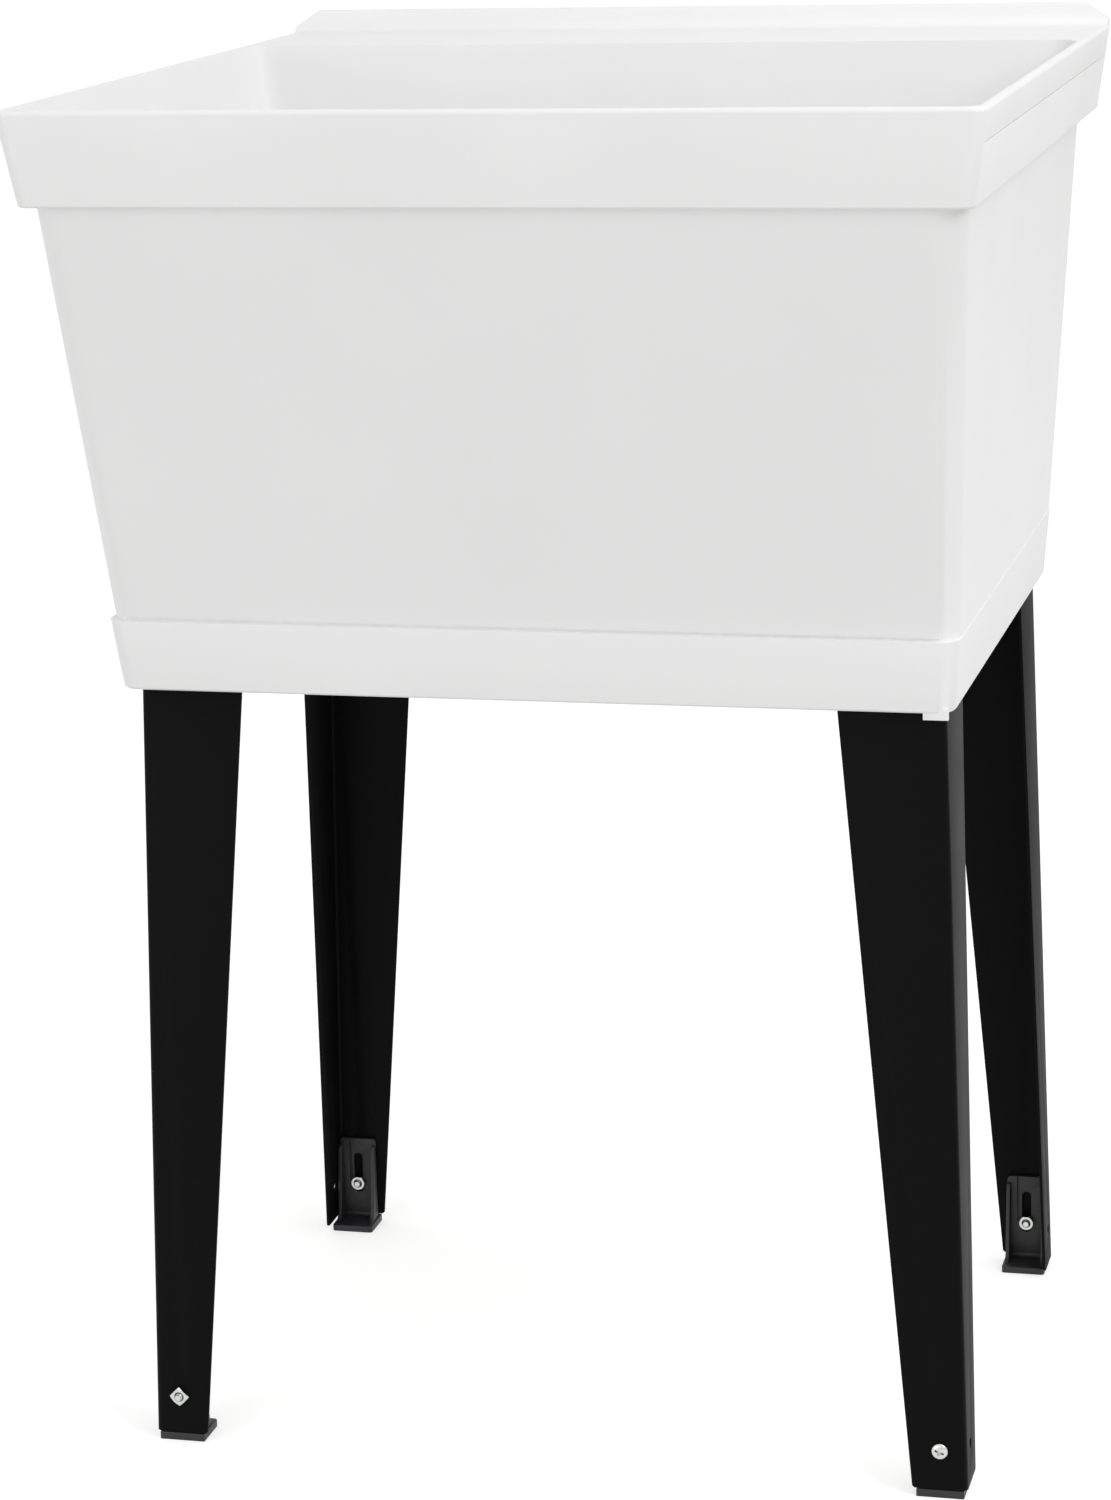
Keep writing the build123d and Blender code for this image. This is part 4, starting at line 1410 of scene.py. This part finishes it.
@dataclass
class Stopper:
    """Rubber stopper with a brim and a lug, and its wire pull ring. Heights from the brim."""

    plug_top: float = 19.2
    plug_low: float = 18.4
    plug_bevel: Point = (3.0, 1.6)
    depth: float = 8.0
    grooves: Point = (-4.6, -2.0)
    groove_half: float = 0.6
    groove_depth: float = 0.7
    brim_radius: float = 27.5
    brim_thick: float = 4.3
    brim_crown: Point = (4.0, 1.0)
    dish_depth: float = 0.6
    dish_outer: float = 5.2
    dish_inner: float = 12.0
    boss_radius: float = 10.5
    lug_half: float = 5.0
    lug_thick: float = 5.0
    lug_top: float = 13.3
    lug_root: float = 3.0
    lug_sunk: float = 1.0
    lug_edge: float = 0.8
    hole_z: float = 8.8
    hole_radius: float = 1.7
    wire: float = 1.0
    ring_radius: float = 9.0
    ring_gap_deg: float = 1.6
    plug_sections: int = 96
    ring_steps: int = 72
    wire_sides: int = 14
    plug_sharp_deg: float = 40.0
    ring_sharp_deg: float = 50.0

    def plug(self) -> Mesh:
        """Slightly tapered plug with two sealing grooves, and a crowned brim.

        Returns:
            The mesh, in millimetres above the brim's underside.
        """
        slope = (self.plug_top - self.plug_low) / self.depth
        top, brim, foot = self.brim_thick, self.brim_radius, -self.depth
        bevel_in, bevel_up = self.plug_bevel
        outline = [(0.0, foot), (self.plug_low - bevel_in, foot), (self.plug_low, foot + bevel_up)]
        rounds = [0.0, 0.8, 0.8]
        for z in self.grooves:
            radius = self.plug_top + slope * z
            outline += [(radius, z - self.groove_half), (radius - self.groove_depth, z)]
            outline += [(radius, z + self.groove_half)]
            rounds += [0.3, 0.4, 0.3]
        dish = top - self.dish_depth
        crown_in, crown_up = self.brim_crown
        outline += [(self.plug_top, 0.0), (brim, 0.0), (brim, top - crown_up)]
        outline += [(brim - crown_in, top), (brim - self.dish_outer, dish)]
        outline += [(self.dish_inner, dish), (self.boss_radius, top), (0.0, top)]
        rounds += [0.5, 0.9, 1.2, 1.0, 0.7, 0.7, 0.7, 0.0]
        return turned(eased(outline, rounds, 3), self.plug_sections)

    def lug(self) -> Mesh:
        """Lug with a hole for the ring, in the XZ plane.

        Returns:
            The lug, drawn flat.
        """
        half, base, top = self.lug_half, self.brim_thick - self.lug_sunk, self.lug_top
        neck = base + self.lug_root
        profile = [(-half - 1, base), (half + 1, base), (half, neck), (half, top)]
        profile += [(-half, top), (-half, neck)]
        profile = eased(profile, [0.1, 0.1, 1.5, 2.6, 2.6, 1.5], 5)
        r, middle = self.hole_radius, self.hole_z
        turns = [2 * math.pi * i / 24 for i in range(24)]
        hole = [(r * math.cos(a), middle + r * math.sin(a)) for a in turns]
        return slab(profile, [hole], -self.lug_thick / 2, self.lug_thick / 2, self.lug_edge)

    def pull_ring(self) -> Mesh:
        """Ring of round wire in the YZ plane, with its two ends butted at the top.

        Returns:
            The mesh about the ring's own centre.
        """
        gap = math.radians(self.ring_gap_deg)
        steps, sides, wire = self.ring_steps, self.wire_sides, self.wire
        form = bmesh.new()
        rings = []
        for i in range(steps + 1):
            angle = math.pi / 2 + gap + (2 * math.pi - 2 * gap) * i / steps
            ring = []
            for k in range(sides):
                turn = 2 * math.pi * k / sides
                radius, x = self.ring_radius + wire * math.cos(turn), wire * math.sin(turn)
                point = (x, radius * math.cos(angle), radius * math.sin(angle))
                ring.append(form.verts.new(point))
            rings.append(ring)
        for first, second in zip(rings, rings[1:]):
            for k in range(sides):
                following = (k + 1) % sides
                form.faces.new((first[k], first[following], second[following], second[k]))
        form.faces.new(rings[0])
        form.faces.new(reversed(rings[-1]))
        bmesh.ops.recalc_face_normals(form, faces=form.faces)
        return finished(form)

    def build(self) -> None:
        """Sets the stopper and its ring in place of the CAD ones."""
        low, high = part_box("stopper")
        brim = Vector(((low.x + high.x) / 2, (low.y + high.y) / 2, low.z + self.depth * MM))
        upright = Matrix.Rotation(math.radians(90), 4, "X")
        plug = together([(self.plug(), Matrix.Identity(4)), (self.lug(), upright)])
        place, sharp = Matrix.Translation(brim), self.plug_sharp_deg
        place_piece("stopper_plug", plug, place, STOPPER_BLACK, "stopper", ["stopper"], sharp)
        lift = Vector((0, 0, (self.hole_z + self.ring_radius) * MM))
        place, sharp = Matrix.Translation(brim + lift), self.ring_sharp_deg
        ring = self.pull_ring()
        place_piece("stopper_pull_ring", ring, place, NICKEL, "stopper", ["stopper_ring"], sharp)


# --- Camera, floor and light ---------------------------------------------------------------
@dataclass(frozen=True)
class PhotoCamera:
    """The photograph's viewpoint, in metres and radians."""

    position: Triple = (0.61145, -2.56672, 1.07504)
    yaw: float = 0.24814
    pitch: float = 0.24401
    roll: float = -0.02769
    lens_mm: float = 99.16
    sensor_mm: float = 36.0
    clip_m: Point = (0.05, 200.0)

    def build(self) -> None:
        """Makes the camera and looks through it."""
        flat = math.cos(self.pitch)
        ahead = Vector(
            (-math.sin(self.yaw) * flat, math.cos(self.yaw) * flat, -math.sin(self.pitch))
        )
        level = Vector((math.cos(self.yaw), math.sin(self.yaw), 0))
        above = level.cross(ahead)
        right = math.cos(self.roll) * level + math.sin(self.roll) * above
        up = -math.sin(self.roll) * level + math.cos(self.roll) * above
        data = bpy.data.cameras.new("photo_camera")
        data.sensor_fit = "AUTO"
        data.sensor_width = self.sensor_mm
        data.lens = self.lens_mm
        data.clip_start, data.clip_end = self.clip_m
        camera = in_scene("photo_camera", data)
        place = Matrix((right, up, -ahead)).transposed().to_4x4()
        place.translation = Vector(self.position)
        camera.matrix_world = place
        bpy.context.scene.camera = camera
        LOG.info("camera at %s, lens %.1f mm", self.position, self.lens_mm)


@dataclass(frozen=True)
class SoftLamp:
    """One rectangular soft box, in metres and watts."""

    name: str
    position: Triple
    target: Triple
    width: float
    height: float
    power: float

    def build(self) -> None:
        """Hangs the lamp and turns it to its target."""
        data = bpy.data.lights.new(self.name, "AREA")
        data.shape = "RECTANGLE"
        data.size = self.width
        data.size_y = self.height
        data.energy = self.power
        lamp = in_scene(self.name, data)
        lamp.location = self.position
        lamp.rotation_mode = "QUATERNION"
        aim = Vector(self.target) - Vector(self.position)
        lamp.rotation_quaternion = aim.to_track_quat("-Z", "Y")


@dataclass
class Studio:
    """White studio: a plain pale floor, an even sky and four soft boxes."""

    sky: float = 0.66
    floor_half: float = 30.0
    floor_squares: int = 8
    floor_colour: str = "#D8D8D7"
    floor_lift: float = 0.57
    white: Colour = (1, 1, 1, 1)
    lamps: tuple[SoftLamp, ...] = (
        SoftLamp("lamp_top", (1.3, -0.1, 2.6), (-0.1, 0.0, 0.8), 1.4, 1.4, 11.0),
        SoftLamp("lamp_right", (2.1, -1.5, 2.0), (0.2, 0.0, 0.8), 1.0, 1.0, 16.0),
        SoftLamp("lamp_front", (-0.6, -3.2, 2.0), (0.0, 0.0, 0.6), 2.2, 1.6, 8.0),
        SoftLamp("lamp_low", (-2.0, -3.0, 0.9), (0.0, 0.0, 0.7), 2.0, 1.2, 16.0),
    )

    def seen(self, tree: Tree) -> Socket:
        """Tells what is looked at from what only gives light.

        Args:
            tree: the node tree that asks.

        Returns:
            1 for rays from the camera, in a mirror or through glass, and 0 for the others.
        """
        path = add(tree, "ShaderNodeLightPath")
        value = path.outputs["Is Camera Ray"]
        for ray in ("Is Glossy Ray", "Is Transmission Ray"):
            pair = {0: value, 1: path.outputs[ray]}
            value = add(tree, "ShaderNodeMath", pair, operation="MAXIMUM").outputs["Value"]
        return value

    def world(self) -> None:
        """Even grey-white light, seen as plain white by the camera, in mirrors and in glass."""
        world = bpy.data.worlds.new("studio_sky")
        bpy.context.scene.world = world
        tree = emptied(world)
        light = add(tree, "ShaderNodeBackground", {"Color": self.white, "Strength": self.sky})
        plain = add(tree, "ShaderNodeBackground", {"Color": self.white, "Strength": 1.0})
        values = {1: light.outputs["Background"], 2: plain.outputs["Background"]}
        mixed = add(tree, "ShaderNodeMixShader", {0: self.seen(tree), **values})
        add(tree, "ShaderNodeOutputWorld", {"Surface": mixed.outputs["Shader"]})

    def floor(self) -> None:
        """Matt floor that is lifted where it is looked at, so it is white but keeps shadows."""
        form, squares = bmesh.new(), self.floor_squares
        bmesh.ops.create_grid(form, x_segments=squares, y_segments=squares, size=self.floor_half)
        floor = in_scene("studio_floor", finished(form))
        material = bpy.data.materials.new("studio_paper")
        tree = emptied(material)
        paper = add(tree, "ShaderNodeBsdfDiffuse", {"Color": linear(self.floor_colour)})
        values = {0: self.seen(tree), 1: self.floor_lift}
        lift = add(tree, "ShaderNodeMath", values, operation="MULTIPLY")
        values = {"Color": self.white, "Strength": lift.outputs["Value"]}
        glow = add(tree, "ShaderNodeEmission", values)
        values = {0: paper.outputs["BSDF"], 1: glow.outputs["Emission"]}
        both = add(tree, "ShaderNodeAddShader", values)
        add(tree, "ShaderNodeOutputMaterial", {"Surface": both.outputs["Shader"]})
        floor.data.materials.append(material)

    def build(self) -> None:
        """Sets up the floor, the sky and the lamps."""
        self.world()
        self.floor()
        for lamp in self.lamps:
            lamp.build()
        bpy.context.scene.view_settings.view_transform = "Standard"
        LOG.info("studio: sky %.2f and %d lamps", self.sky, len(self.lamps))


def main() -> None:
    """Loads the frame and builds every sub-assembly in order."""
    logging.basicConfig(level=logging.INFO, format="%(name)s: %(message)s")
    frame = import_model()
    PhotoCamera().build()
    Studio().build()
    Tub().dress(frame["nodes"])
    AngleLegs().dress(frame["nodes"])
    LevellingFoot().build(frame)
    FootFastening().build(frame)
    Drain().build()
    Stopper().build()
    bpy.context.view_layer.update()


if __name__ == "__main__":
    main()
